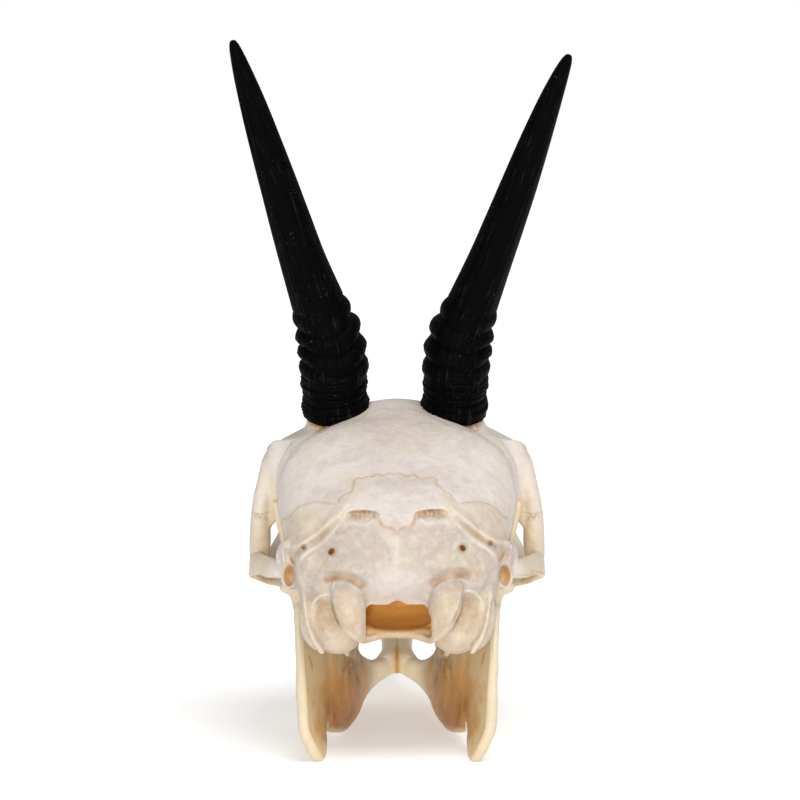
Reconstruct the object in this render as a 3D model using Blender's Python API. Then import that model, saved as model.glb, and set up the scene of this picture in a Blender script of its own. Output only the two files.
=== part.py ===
"""A duiker ram's skull at life size, with its lower jaw and horn sheaths, lying on the lower jaw.

+Y runs from the occipital condyles to the snout, +X is the skull's right side and Z is the height
above the floor. Landmarks are in millimetres in the skull's own frame, whose Y is zero at the rear
of the condyles. The last step moves all pieces so that the middle of their box lies at the origin.
"""
import math

import bmesh
import bpy
import numpy as np
from mathutils import Matrix, Vector

MM = 0.001
GAP = 0.3

# Driving dimensions of the whole skull
CRANIUM_LENGTH = 178.0
BRAINCASE_HALF_WIDTH = 32.4
ORBIT_HALF_WIDTH = 39.6
ROOF_HEIGHT = 92.8
CREST_HEIGHT = 63.5

# Orbit: the middle of its rim and its half sizes along and across the skull
ORBIT_MIDDLE = (34.0, 79.5, 62.2)
ORBIT_HALF_LENGTH = 16.0
ORBIT_HALF_HEIGHT = 15.8

# Foramen magnum
FORAMEN_HALF_WIDTH = 8.5
FORAMEN_TOP = 42.2
FORAMEN_BOTTOM = 33.8

# Cheek teeth: the biting plane at the rear of the rows and its fall towards the snout
BITE_HEIGHT = 28.6
BITE_REAR = 60.0
BITE_FALL = 0.13
ROOT_DEPTH = 8.5
BITE_GAP = 0.5
CUSP_HEIGHT = 0.5
TOOTH_WAIST = 0.16

# Each tooth: its length, its width, the lobes of its outline, and where its middle lies
UPPER_TEETH = (
    ("third_molar", 10.6, 8.6, 2, 17.4, 62.6),
    ("second_molar", 10.4, 9.0, 2, 18.0, 73.1),
    ("first_molar", 9.2, 8.6, 2, 18.0, 82.9),
    ("fourth_premolar", 6.8, 7.6, 1, 17.2, 90.9),
    ("third_premolar", 6.4, 6.6, 1, 16.2, 97.5),
    ("second_premolar", 5.8, 5.4, 1, 15.2, 103.6),
)
LOWER_TEETH = (
    ("third_molar", 12.6, 6.4, 3, 15.4, 61.6),
    ("second_molar", 9.8, 6.6, 2, 15.5, 72.9),
    ("first_molar", 8.8, 6.2, 2, 15.2, 82.3),
    ("fourth_premolar", 6.8, 5.0, 1, 14.6, 90.2),
    ("third_premolar", 6.2, 4.4, 1, 13.8, 96.8),
    ("second_premolar", 5.0, 3.8, 1, 13.0, 102.5),
)
INCISOR_WIDTHS = (5.4, 3.4, 2.6, 2.2)

# Condyle of the lower jaw, on which the cranium rests
JAW_CONDYLE = (26.4, 28.6, 45.0)
JAW_CONDYLE_RADII = (5.6, 3.0, 2.4)
JAW_CONDYLE_TILT = 6.0

# Horn sheaths: the half width at the foot and the rings above it
HORN_FOOT_RADIUS = 8.9
HORN_RINGS = 6
HORN_RINGED_LENGTH = 27.0
HORN_RING_RELIEF = 0.55
HORN_SIDES = 14

# Fineness of the fused bones
BONE_VOXEL = 1.05
CRANIUM_FACES = 5400
MANDIBLE_FACES = 1150

BONE = ("bone", (0.80, 0.72, 0.60, 1.0), 0.55)
JAW = ("jaw_bone", (0.76, 0.64, 0.46, 1.0), 0.5)
HORN = ("horn", (0.012, 0.011, 0.010, 1.0), 0.45)


def clear_scene():
    """Remove what the file holds at the start."""
    for obj in list(bpy.data.objects):
        bpy.data.objects.remove(obj, do_unlink=True)


def smooth_rows(rows, spans):
    """Rows along a smooth curve through the given rows."""
    rows = np.array(rows, float)
    before = 2 * rows[0] - rows[1]
    after = 2 * rows[-1] - rows[-2]
    knots = np.vstack([before, rows, after])
    out = []
    for index in range(len(rows) - 1):
        a, b, c, d = knots[index:index + 4]
        for t in np.linspace(0, 1, spans, endpoint=False):
            out.append(0.5 * (2 * b + (c - a) * t + (2 * a - 5 * b + 4 * c - d) * t * t
                              + (3 * b - a - 3 * c + d) * t ** 3))
    out.append(rows[-1])
    return np.array(out)


def make_object(name, points, faces):
    """A closed mesh object from points in millimetres, its faces pointing out."""
    mesh = bpy.data.meshes.new(name)
    mesh.from_pydata([Vector(p) * MM for p in points], [], faces)
    obj = bpy.data.objects.new(name, mesh)
    bpy.context.scene.collection.objects.link(obj)
    shape = bmesh.new()
    shape.from_mesh(mesh)
    bmesh.ops.remove_doubles(shape, verts=shape.verts, dist=0.00001)
    bmesh.ops.recalc_face_normals(shape, faces=shape.faces)
    if shape.calc_volume(signed=True) < 0:
        bmesh.ops.reverse_faces(shape, faces=shape.faces)
    shape.to_mesh(mesh)
    shape.free()
    return obj


def skin_rings(name, rings, closed=False):
    """A surface through rings of equal point counts, with a fan at each end unless it closes."""
    count = len(rings)
    sides = len(rings[0])
    points = [p for ring in rings for p in ring]
    faces = []
    for row in range(count if closed else count - 1):
        nxt = (row + 1) % count
        for side in range(sides):
            other = (side + 1) % sides
            faces.append((row * sides + side, row * sides + other,
                          nxt * sides + other, nxt * sides + side))
    if not closed:
        for row in (0, count - 1):
            points.append(np.mean(rings[row], axis=0))
            for side in range(sides):
                faces.append((len(points) - 1, row * sides + side, row * sides + (side + 1) % sides))
    return make_object(name, points, faces)


def body(name, rows, spans=4, sides=32):
    """A loft along Y. Row: y, top, bottom, half width, height of the widest place, two squarenesses."""
    turn = np.linspace(0, 2 * math.pi, sides, endpoint=False)
    rings = []
    for y, top, bottom, half, wide, square_top, square_low in smooth_rows(rows, spans):
        ring = []
        for angle in turn:
            c = math.cos(angle)
            s = math.sin(angle)
            square = square_top if s >= 0 else square_low
            reach = top - wide if s >= 0 else wide - bottom
            x = half * math.copysign(abs(c) ** (2 / square), c)
            z = wide + reach * math.copysign(abs(s) ** (2 / square), s)
            ring.append((x, y, z))
        rings.append(ring)
    return skin_rings(name, rings)


def rod(name, rows, up=(0, 0, 1), spans=4, sides=12, closed=False):
    """A rod through rows of x, y, z, half width and half height, the height along up."""
    if closed:
        rows = list(rows) + [rows[0]]
    line = smooth_rows(rows, spans)
    if closed:
        line = line[:-1]
    up = np.array(up, float)
    turn = np.linspace(0, 2 * math.pi, sides, endpoint=False)
    rings = []
    for index, row in enumerate(line):
        ahead = line[(index + 1) % len(line)] if closed or index < len(line) - 1 else row
        behind = line[index - 1] if closed or index > 0 else row
        along = ahead[:3] - behind[:3]
        along = along / np.linalg.norm(along)
        side = np.cross(along, up)
        side = side / np.linalg.norm(side)
        high = np.cross(side, along)
        rings.append([row[:3] + side * row[3] * math.cos(a) + high * row[4] * math.sin(a) for a in turn])
    return skin_rings(name, rings, closed)


def blade(name, rows, spans=4, sides=14):
    """A thin plate through rows that give both of its edges and its thickness."""
    line = smooth_rows(rows, spans)
    turn = np.linspace(0, 2 * math.pi, sides, endpoint=False)
    middles = (line[:, 0:3] + line[:, 3:6]) / 2
    rings = []
    for index, row in enumerate(line):
        along = middles[min(index + 1, len(line) - 1)] - middles[max(index - 1, 0)]
        half = (row[3:6] - row[0:3]) / 2
        across = np.cross(along, half)
        across = across / np.linalg.norm(across) * row[6] / 2
        ring = []
        for angle in turn:
            s = math.sin(angle)
            ring.append(middles[index] + half * math.cos(angle)
                        + across * math.copysign(abs(s) ** 0.7, s))
        rings.append(ring)
    return skin_rings(name, rings)


def ball(name, middle, radii, tilt=(0.0, 0.0, 0.0)):
    """An ellipsoid with its axes turned by tilt, in degrees about X, Y and Z."""
    shape = bmesh.new()
    bmesh.ops.create_uvsphere(shape, u_segments=20, v_segments=12, radius=1.0)
    turn = Matrix.Identity(4)
    for angle, axis in zip(tilt, "XYZ"):
        turn = Matrix.Rotation(math.radians(angle), 4, axis) @ turn
    place = Matrix.Translation(Vector(middle) * MM) @ turn @ Matrix.Diagonal((*(r * MM for r in radii), 1.0))
    bmesh.ops.transform(shape, matrix=place, verts=shape.verts)
    mesh = bpy.data.meshes.new(name)
    shape.to_mesh(mesh)
    shape.free()
    obj = bpy.data.objects.new(name, mesh)
    bpy.context.scene.collection.objects.link(obj)
    return obj


def block(name, low, high):
    """A box between two corners."""
    corners = [(x, y, z) for x in (low[0], high[0]) for y in (low[1], high[1]) for z in (low[2], high[2])]
    faces = [(0, 1, 3, 2), (4, 6, 7, 5), (0, 4, 5, 1), (2, 3, 7, 6), (0, 2, 6, 4), (1, 5, 7, 3)]
    return make_object(name, corners, faces)


def mirrored(rows, side, columns=(0,)):
    """The rows with their X columns multiplied by side."""
    out = [list(row) for row in rows]
    for row in out:
        for column in columns:
            row[column] *= side
    return out


def settle(obj):
    """Apply the object's modifiers."""
    graph = bpy.context.evaluated_depsgraph_get()
    mesh = bpy.data.meshes.new_from_object(obj.evaluated_get(graph))
    obj.modifiers.clear()
    obj.data = mesh


def combine(obj, others, operation):
    """Union with the others, or cut by them, and remove them."""
    group = bpy.data.collections.new("tools")
    bpy.context.scene.collection.children.link(group)
    for other in others:
        bpy.context.scene.collection.objects.unlink(other)
        group.objects.link(other)
    tool = obj.modifiers.new("combine", "BOOLEAN")
    tool.operand_type = "COLLECTION"
    tool.collection = group
    tool.operation = operation
    tool.solver = "MANIFOLD"
    settle(obj)
    for other in others:
        bpy.data.objects.remove(other, do_unlink=True)
    bpy.data.collections.remove(group)


def keep_largest(obj):
    """Drop all closed surfaces but the one that holds the largest volume."""
    shape = bmesh.new()
    shape.from_mesh(obj.data)
    unseen = set(shape.faces)
    shells = []
    while unseen:
        stack = [unseen.pop()]
        shell = set(stack)
        while stack:
            for edge in stack.pop().edges:
                for face in edge.link_faces:
                    if face in unseen:
                        unseen.remove(face)
                        shell.add(face)
                        stack.append(face)
        shells.append(shell)

    def shell_volume(shell):
        total = 0.0
        for face in shell:
            first = face.verts[0].co
            for a, b in zip(face.verts[1:-1], face.verts[2:]):
                total += first.dot(a.co.cross(b.co)) / 6
        return total

    shells.sort(key=shell_volume, reverse=True)
    for shell in shells[1:]:
        bmesh.ops.delete(shape, geom=list(shell), context="FACES")
    loose = [v for v in shape.verts if not v.link_faces]
    bmesh.ops.delete(shape, geom=loose, context="VERTS")
    shape.to_mesh(obj.data)
    shape.free()


def soften(obj, voxel, rounds):
    """Remesh the fused forms so that they run into each other, and smooth them."""
    remesh = obj.modifiers.new("remesh", "REMESH")
    remesh.mode = "VOXEL"
    remesh.voxel_size = voxel * MM
    smooth = obj.modifiers.new("smooth", "SMOOTH")
    smooth.factor = 0.5
    smooth.iterations = rounds
    settle(obj)


def simplify(obj, faces):
    """Collapse edges until about this many triangles are left."""
    triangles = sum(len(p.vertices) - 2 for p in obj.data.polygons)
    collapse = obj.modifiers.new("collapse", "DECIMATE")
    collapse.ratio = min(1.0, faces / triangles)
    settle(obj)


def bite(y):
    """Height of the biting plane."""
    return BITE_HEIGHT - BITE_FALL * (y - BITE_REAR)


def braincase_forms():
    """Braincase, forehead and the narrow body between the orbits."""
    width = BRAINCASE_HALF_WIDTH
    roof = ROOF_HEIGHT
    braincase = body("braincase", [
        (3.2, CREST_HEIGHT - 1.5, 54.0, 8.0, 58.0, 2.0, 2.0),
        (5.0, CREST_HEIGHT + 3.0, 47.5, 16.5, 57.5, 2.0, 2.0),
        (9.0, 70.2, 38.5, 23.0, 55.5, 2.0, 2.0),
        (14.0, 73.4, 34.5, 27.0, 56.0, 2.1, 1.9),
        (20.0, 76.3, 33.2, width - 2.6, 57.5, 2.2, 1.8),
        (30.0, 81.7, 33.4, width - 0.4, 60.5, 2.5, 1.6),
        (40.0, 86.3, 34.3, width, 63.5, 2.9, 1.5),
        (51.0, roof - 2.7, 35.8, width - 1.2, 67.0, 3.1, 1.5),
        (62.0, roof - 0.5, 38.5, 26.0, 70.0, 2.5, 1.6),
        (70.0, roof - 1.0, 41.0, 19.0, 72.0, 2.2, 1.8),
    ])
    forehead = body("forehead", [
        (53.0, roof - 5.0, 77.0, 21.0, 80.0, 1.4, 1.6),
        (59.0, roof - 1.6, 74.5, 30.6, 79.6, 1.35, 1.6),
        (65.0, roof - 0.1, 74.0, ORBIT_HALF_WIDTH - 4.2, 79.0, 1.3, 1.6),
        (73.0, roof - 1.2, 73.5, ORBIT_HALF_WIDTH - 3.8, 78.6, 1.3, 1.6),
        (81.0, 88.0, 72.0, 34.6, 78.0, 1.3, 1.6),
        (89.0, 82.5, 69.0, 31.2, 75.0, 1.4, 1.6),
        (97.0, 76.2, 64.0, 27.2, 69.0, 1.5, 1.6),
        (105.0, 69.5, 58.0, 22.5, 62.0, 1.6, 1.6),
    ])
    between_orbits = body("between_orbits", [
        (56.0, 84.0, 37.5, 18.0, 58.0, 2.0, 1.8),
        (66.0, 86.0, 36.5, 13.5, 54.0, 2.0, 2.0),
        (78.0, 84.0, 35.0, 13.5, 48.0, 2.0, 2.4),
        (88.0, 79.0, 33.0, 18.0, 46.0, 2.0, 2.6),
        (96.0, 74.0, 31.6, 23.0, 46.0, 2.0, 2.6),
    ])
    return [braincase, forehead, between_orbits]


def muzzle_form():
    """Face in front of the orbits, out to the premaxillae."""
    tip = CRANIUM_LENGTH
    return body("muzzle", [
        (86.0, 80.0, 33.5, 18.0, 46.0, 2.0, 2.6),
        (93.0, 77.5, 32.2, 23.5, 46.0, 1.9, 2.6),
        (99.0, 74.0, 31.2, 25.0, 45.5, 1.8, 2.6),
        (106.0, 68.8, 30.2, 23.4, 44.5, 1.8, 2.6),
        (113.0, 64.8, 29.4, 20.6, 43.0, 1.8, 2.6),
        (121.0, 60.8, 28.8, 17.6, 41.0, 1.8, 2.5),
        (131.0, 56.4, 28.2, 14.6, 38.5, 1.8, 2.4),
        (141.0, 52.0, 27.6, 12.6, 37.0, 1.9, 2.4),
        (151.0, 47.4, 27.0, 11.4, 35.5, 1.9, 2.3),
        (161.0, 42.6, 26.8, 10.6, 34.0, 2.0, 2.2),
        (tip - 10, 38.4, 27.0, 9.4, 32.6, 2.0, 2.2),
        (tip - 4, 34.6, 27.6, 7.6, 31.2, 2.0, 2.0),
        (tip, 31.8, 29.2, 4.0, 30.4, 2.0, 2.0),
    ], sides=28)


def orbit_forms(side):
    """Rim of the orbit, the wall behind it, and the zygomatic arch."""
    outer = ORBIT_HALF_WIDTH
    rim = rod("rim", mirrored([
        (35.2, 70.0, 79.4, 2.2, 2.6),
        (34.6, 78.5, 79.0, 2.2, 2.6),
        (32.6, 86.5, 76.0, 2.3, 2.6),
        (30.0, 93.5, 69.8, 2.4, 2.8),
        (28.8, 97.0, 61.6, 2.6, 3.2),
        (30.4, 95.6, 53.2, 2.8, 3.4),
        (34.4, 89.0, 46.6, 2.8, 3.0),
        (outer - 1.8, 79.5, 44.2, 2.8, 2.4),
        (outer - 0.6, 70.0, 45.8, 3.4, 2.4),
        (outer - 1.2, 63.6, 52.5, 3.8, 3.0),
        (outer - 1.6, 61.6, 62.0, 3.8, 2.7),
        (outer - 2.6, 62.4, 71.0, 3.4, 2.5),
        (36.2, 65.4, 77.0, 2.8, 2.6),
    ], side), up=(1, 0, 0), closed=True)
    wall = blade("rear_wall", mirrored([
        (20.0, 56.0, 84.0, 35.0, 63.6, 81.0, 5.0),
        (24.0, 56.0, 77.0, 37.0, 62.6, 74.0, 4.6),
        (26.5, 56.5, 70.0, 38.0, 62.0, 68.0, 3.6),
        (30.5, 58.5, 63.5, 38.6, 62.0, 62.0, 3.0),
        (35.0, 60.6, 57.5, 38.8, 62.6, 57.5, 2.4),
    ], side, columns=(0, 3)))
    arch = rod("arch", mirrored([
        (25.5, 24.0, 52.6, 3.0, 3.0),
        (31.5, 29.0, 51.6, 2.8, 2.5),
        (35.2, 38.0, 50.4, 1.6, 2.6),
        (38.0, 48.0, 49.0, 1.5, 2.8),
        (outer - 0.2, 58.0, 47.2, 1.6, 3.4),
        (outer, 66.0, 45.6, 1.8, 3.4),
        (outer - 2.0, 77.0, 43.2, 2.1, 3.8),
        (34.0, 88.0, 41.6, 3.0, 4.6),
        (28.5, 96.0, 40.4, 4.2, 5.4),
        (22.0, 102.0, 39.0, 4.0, 5.0),
    ], side))
    cheek = ball("cheek", (side * 23.5, 96.0, 47.0), (7.0, 9.0, 11.0), tilt=(0, 0, side * 25))
    return [rim, wall, arch, cheek]


def occiput_forms(side):
    """Nuchal crest, condyle, paracondylar process, bulla and ear tube."""
    crest = rod("crest", mirrored([
        (0.0, 4.4, CREST_HEIGHT - 0.8, 1.6, 1.8),
        (5.2, 5.0, 66.2, 1.6, 1.6),
        (9.0, 6.6, 69.0, 1.5, 1.5),
        (13.4, 8.4, 69.6, 1.5, 1.5),
        (18.0, 10.2, 67.6, 1.4, 1.4),
        (23.0, 13.6, 63.6, 1.3, 1.4),
        (27.4, 16.8, 60.0, 1.2, 1.4),
        (30.2, 18.8, 57.4, 1.3, 1.4),
    ], side), up=(0, 1, 0))
    outer_ridge = rod("outer_ridge", mirrored([
        (14.0, 8.0, 67.8, 1.2, 1.4),
        (18.4, 9.6, 62.4, 1.2, 1.5),
        (23.2, 12.6, 56.2, 1.4, 1.6),
        (26.0, 14.6, 51.0, 1.6, 2.0),
        (26.6, 15.4, 45.5, 1.7, 3.0),
        (25.6, 14.8, 40.5, 1.6, 3.4),
        (23.2, 13.2, 34.6, 1.5, 2.6),
        (20.0, 12.2, 29.4, 1.0, 1.2),
    ], side), up=(0, 1, 0))
    condyle = rod("condyle", mirrored([
        (13.4, 8.4, 46.2, 3.2, 3.0),
        (13.3, 5.4, 44.6, 4.9, 4.9),
        (13.0, 4.8, 41.6, 5.0, 5.0),
        (12.0, 4.8, 38.4, 4.2, 4.6),
        (10.7, 5.4, 35.4, 2.9, 3.9),
        (9.6, 6.6, 32.8, 1.8, 2.8),
    ], side), up=(0, 1, 0), sides=16)
    bulla = ball("bulla", (side * 15.2, 24.0, 34.2), (6.6, 10.0, 6.9), tilt=(0, 0, side * 12))
    jugular = ball("jugular_plate", (side * 20.0, 17.5, 42.0), (5.6, 5.6, 8.4), tilt=(0, side * -6, 0))
    knob = rod("ear_ridge", mirrored([
        (29.8, 18.6, 57.2, 1.6, 1.8),
        (30.4, 22.5, 54.8, 1.6, 1.6),
        (31.2, 27.5, 52.6, 1.8, 1.8),
    ], side))
    ear = rod("ear_tube", mirrored([
        (22.5, 24.0, 46.6, 3.0, 3.4),
        (26.5, 22.6, 48.2, 2.9, 3.5),
        (29.6, 21.0, 49.3, 2.8, 3.6),
    ], side))
    mastoid = ball("mastoid", (side * 23.6, 17.0, 48.5), (4.2, 4.6, 8.0), tilt=(0, side * -8, 0))
    return [crest, outer_ridge, condyle, bulla, jugular, knob, ear, mastoid]


def palate_forms(side):
    """Bone that holds the upper cheek teeth, and the pterygoid plate behind the palate."""
    rows = [(17.0, 57.5, 38.0, 3.8, 3.6)]
    for _, _, width, _, x, y in UPPER_TEETH:
        rows.append((x, y, bite(y) + ROOT_DEPTH + 2.2, width / 2 + 0.9, 4.4))
    rows.append((11.6, 114.0, bite(114.0) + ROOT_DEPTH + 2.6, 2.4, 3.4))
    alveoli = rod("alveoli", mirrored(rows, side), spans=3)
    pterygoid = blade("pterygoid", mirrored([
        (7.0, 41.0, 35.5, 6.6, 41.0, 39.0, 1.8),
        (7.4, 47.0, 31.5, 6.6, 47.0, 40.0, 1.9),
        (7.2, 54.0, 29.5, 6.8, 54.0, 40.0, 2.0),
        (8.0, 61.0, 32.0, 8.0, 61.0, 41.0, 3.0),
    ], side, columns=(0, 3)))
    return [alveoli, pterygoid]


def horn_axis(side):
    """Middle line of a horn core and its sheath: x, y, z and the half width, from foot to tip."""
    if side < 0:
        return [
            (-17.0, 60.6, 89.7, 8.9),
            (-17.4, 57.6, 96.5, 9.1),
            (-17.5, 55.3, 103.0, 9.2),
            (-18.4, 52.9, 110.2, 8.6),
            (-20.4, 50.9, 116.8, 7.9),
            (-25.4, 46.4, 131.2, 6.7),
            (-28.8, 43.4, 142.1, 5.85),
            (-32.1, 40.7, 153.0, 5.1),
            (-35.4, 38.2, 163.7, 4.2),
            (-38.7, 35.8, 174.4, 3.2),
            (-41.3, 33.9, 182.6, 2.2),
            (-43.2, 32.5, 188.6, 1.2),
            (-44.0, 31.9, 191.2, 0.5),
        ]
    return [
        (16.0, 60.6, 89.7, 8.8),
        (16.2, 57.6, 96.5, 9.0),
        (16.4, 55.3, 103.0, 9.0),
        (17.3, 52.9, 110.2, 8.5),
        (19.4, 50.9, 116.8, 7.6),
        (25.0, 46.4, 131.2, 6.1),
        (29.1, 43.4, 142.1, 5.5),
        (33.1, 40.7, 153.0, 4.9),
        (36.9, 38.2, 163.7, 4.0),
        (40.8, 35.8, 174.4, 2.9),
        (43.6, 33.9, 181.6, 1.9),
        (45.3, 32.9, 185.6, 1.1),
        (46.1, 32.5, 187.4, 0.5),
    ]


def horn_foot(side):
    """Middle of the horn's foot and its direction there."""
    line = np.array(horn_axis(side))
    along = line[2, :3] - line[0, :3]
    return line[0, :3], along / np.linalg.norm(along)


def pedicle_form(side):
    """Short bony foot of the horn core, later cut flat under the sheath."""
    middle, along = horn_foot(side)
    rows = []
    for drop, radius in ((13.0, 6.5), (6.0, 9.0), (2.6, 8.8), (-1.5, HORN_FOOT_RADIUS - 0.6)):
        rows.append((*(middle - along * drop), radius, radius + 0.2))
    return rod("pedicle", rows, up=(0, 1, 0), sides=24, spans=2)


def horn_seat(side):
    """Space above the foot of a horn sheath, which no bone reaches into."""
    middle, along = horn_foot(side)
    radius = HORN_FOOT_RADIUS + 3.0
    rows = [(*(middle + along * rise), radius, radius) for rise in (0.0, 8.0)]
    return rod("horn_seat", rows, up=(0, 1, 0), sides=24, spans=1)


def jaw_socket(side):
    """Space that the condyle of the lower jaw takes under the root of the arch."""
    x, y, z = JAW_CONDYLE
    radii = [radius + 2.2 * GAP for radius in JAW_CONDYLE_RADII]
    return ball("jaw_socket", (side * x, y, z), radii, tilt=(0, side * JAW_CONDYLE_TILT, 0))


def cranium_cutters():
    """What is hollow: braincase, nose, inner nostrils, orbits, ear openings and the pits behind."""
    half = FORAMEN_HALF_WIDTH
    middle = (FORAMEN_TOP + FORAMEN_BOTTOM) / 2
    reach = (FORAMEN_TOP - FORAMEN_BOTTOM) / 2
    cutters = [
        body("brain_space", [
            (-6.0, middle + reach, middle - reach, half, middle, 3.6, 4.4),
            (4.0, middle + reach, middle - reach, half, middle, 3.6, 4.4),
            (11.0, middle + reach + 1.0, middle - reach, half + 0.3, middle, 3.0, 3.4),
            (20.0, 49.0, middle - reach + 0.6, half + 1.6, 41.0, 2.4, 2.4),
            (29.0, 50.5, 38.0, half, 44.0, 2.0, 2.0),
            (34.0, 48.0, 42.0, 4.0, 45.0, 2.0, 2.0),
        ]),
        rod("foramen_peak", [
            (0.0, -6.0, FORAMEN_TOP - 1.2, 3.0, 2.6),
            (0.0, 4.0, FORAMEN_TOP - 1.0, 3.0, 2.6),
            (0.0, 12.0, FORAMEN_TOP + 0.6, 2.6, 2.2),
        ]),
        body("nose_space", [
            (103.0, 56.0, 44.0, 7.0, 50.0, 2.0, 2.0),
            (112.0, 59.5, 37.5, 13.0, 45.0, 2.0, 2.2),
            (124.0, 56.4, 32.5, 12.6, 41.0, 1.9, 2.4),
            (138.0, 50.2, 31.0, 10.4, 38.0, 1.9, 2.4),
            (152.0, 44.0, 30.2, 8.8, 36.0, 1.9, 2.4),
            (161.0, 41.0, 29.8, 8.0, 35.0, 2.0, 2.4),
            (166.0, 52.0, 30.0, 7.4, 36.0, 2.0, 2.4),
            (173.0, 54.0, 31.0, 5.4, 36.0, 2.0, 2.2),
            (186.0, 56.0, 32.4, 4.0, 38.0, 2.0, 2.0),
        ]),
        body("inner_nostrils", [
            (36.0, 31.0, 20.0, 5.4, 26.0, 2.0, 2.0),
            (46.0, 38.0, 24.0, 5.2, 32.0, 2.0, 2.0),
            (58.0, 42.0, 26.0, 5.2, 35.0, 2.0, 2.0),
            (68.0, 44.0, 34.0, 5.0, 39.0, 2.0, 2.0),
            (84.0, 47.0, 38.0, 4.0, 43.0, 2.0, 2.0),
        ]),
    ]
    for side in (-1, 1):
        x, y, z = ORBIT_MIDDLE
        cutters.append(ball("orbit", (side * x, y, z), (23.0, ORBIT_HALF_LENGTH, ORBIT_HALF_HEIGHT),
                            tilt=(0, side * -4, side * 14)))
        cutters.append(ball("gland_pit", (side * 31.4, 112.0, 52.6), (8.0, 9.6, 6.4), tilt=(0, 0, side * 20)))
        cutters.append(rod("ear_hole", mirrored([
            (24.5, 23.6, 47.6, 1.5, 2.0),
            (29.0, 21.2, 49.2, 1.6, 2.3),
            (34.0, 18.6, 50.8, 1.7, 2.4),
        ], side)))
        cutters.append(ball("crest_pit", (side * 11.6, 5.2, 67.4), (5.4, 3.6, 1.9), tilt=(0, side * -6, 0)))
        cutters.append(ball("condyle_pit", (side * 14.2, 4.6, 51.2), (4.8, 4.0, 1.7), tilt=(0, side * 14, 0)))
        cutters.append(ball("side_pit", (side * 20.0, 7.4, 42.0), (2.3, 6.0, 3.6), tilt=(0, side * 10, 0)))
        cutters.append(rod("palate_slot", mirrored([
            (2.9, 147.0, 29.0, 1.2, 5.0),
            (3.2, 157.0, 29.0, 1.6, 5.0),
            (2.9, 167.0, 30.0, 1.1, 5.0),
        ], side)))
    return cutters


def build_cranium():
    """The cranium with its teeth, all in one piece before its sutures are cut."""
    forms = braincase_forms()
    forms.append(muzzle_form())
    for side in (-1, 1):
        forms += orbit_forms(side)
        forms += occiput_forms(side)
        forms += palate_forms(side)
        forms.append(pedicle_form(side))
    bone = forms[0]
    combine(bone, forms[1:], "UNION")
    combine(bone, cranium_cutters(), "DIFFERENCE")
    soften(bone, BONE_VOXEL, 2)
    keep_largest(bone)
    simplify(bone, CRANIUM_FACES)
    combine(bone, [horn_seat(-1), horn_seat(1), jaw_socket(-1), jaw_socket(1)], "DIFFERENCE")
    teeth = []
    for side in (-1, 1):
        for name, length, width, lobes, x, y in UPPER_TEETH:
            low = bite(y)
            teeth.append(cheek_tooth(name, (side * x, y), (length, width), lobes,
                                     low + ROOT_DEPTH, low, side))
    combine(bone, teeth, "UNION")
    return bone


def cheek_tooth(name, place, size, lobes, root, crown, side):
    """A cheek tooth: a lobed column from its root to its crown, with a cusp on each lobe's edges."""
    sides = 12
    length, width = size
    down = 1 if crown > root else -1
    rings = []
    for height, swell in ((root, 0.9), (crown - down * 2.0, 1.0), (crown, 0.84), (crown - down * 1.1, 0.34)):
        ring = []
        for index in range(sides):
            angle = 2 * math.pi * index / sides
            lobe = abs(math.sin(math.pi * lobes * (math.sin(angle) + 1) / 2))
            waist = 1 - TOOTH_WAIST * (1 - lobe)
            x = place[0] + side * width / 2 * swell * waist * math.cos(angle)
            y = place[1] + length / 2 * swell * math.sin(angle)
            cusp = CUSP_HEIGHT * abs(math.cos(angle)) if height == crown else 0.0
            ring.append((x, y, height - down * (CUSP_HEIGHT - cusp)))
        rings.append(ring)
    return skin_rings(name, rings)


def ramus_rows():
    """Ramus of the mandible as level slices: rear edge, front edge and thickness."""
    return [
        (20.6, 16.0, -0.6, 20.0, 26.0, -0.6, 2.4),
        (21.4, 12.8, 3.0, 19.6, 33.0, 3.0, 2.8),
        (24.2, 12.0, 8.0, 18.8, 43.0, 8.0, 3.0),
        (25.0, 14.2, 15.0, 18.0, 50.0, 15.0, 2.9),
        (25.4, 17.4, 22.0, 17.8, 53.0, 22.0, 2.8),
        (25.8, 20.4, 29.0, 18.8, 53.6, 29.0, 2.6),
        (26.0, 22.8, 36.0, 22.2, 51.6, 36.0, 2.6),
        (26.2, 24.6, 41.0, 26.0, 50.0, 41.0, 2.6),
        (26.4, 26.0, 44.4, 28.4, 49.0, 44.6, 2.6),
    ]


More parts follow.
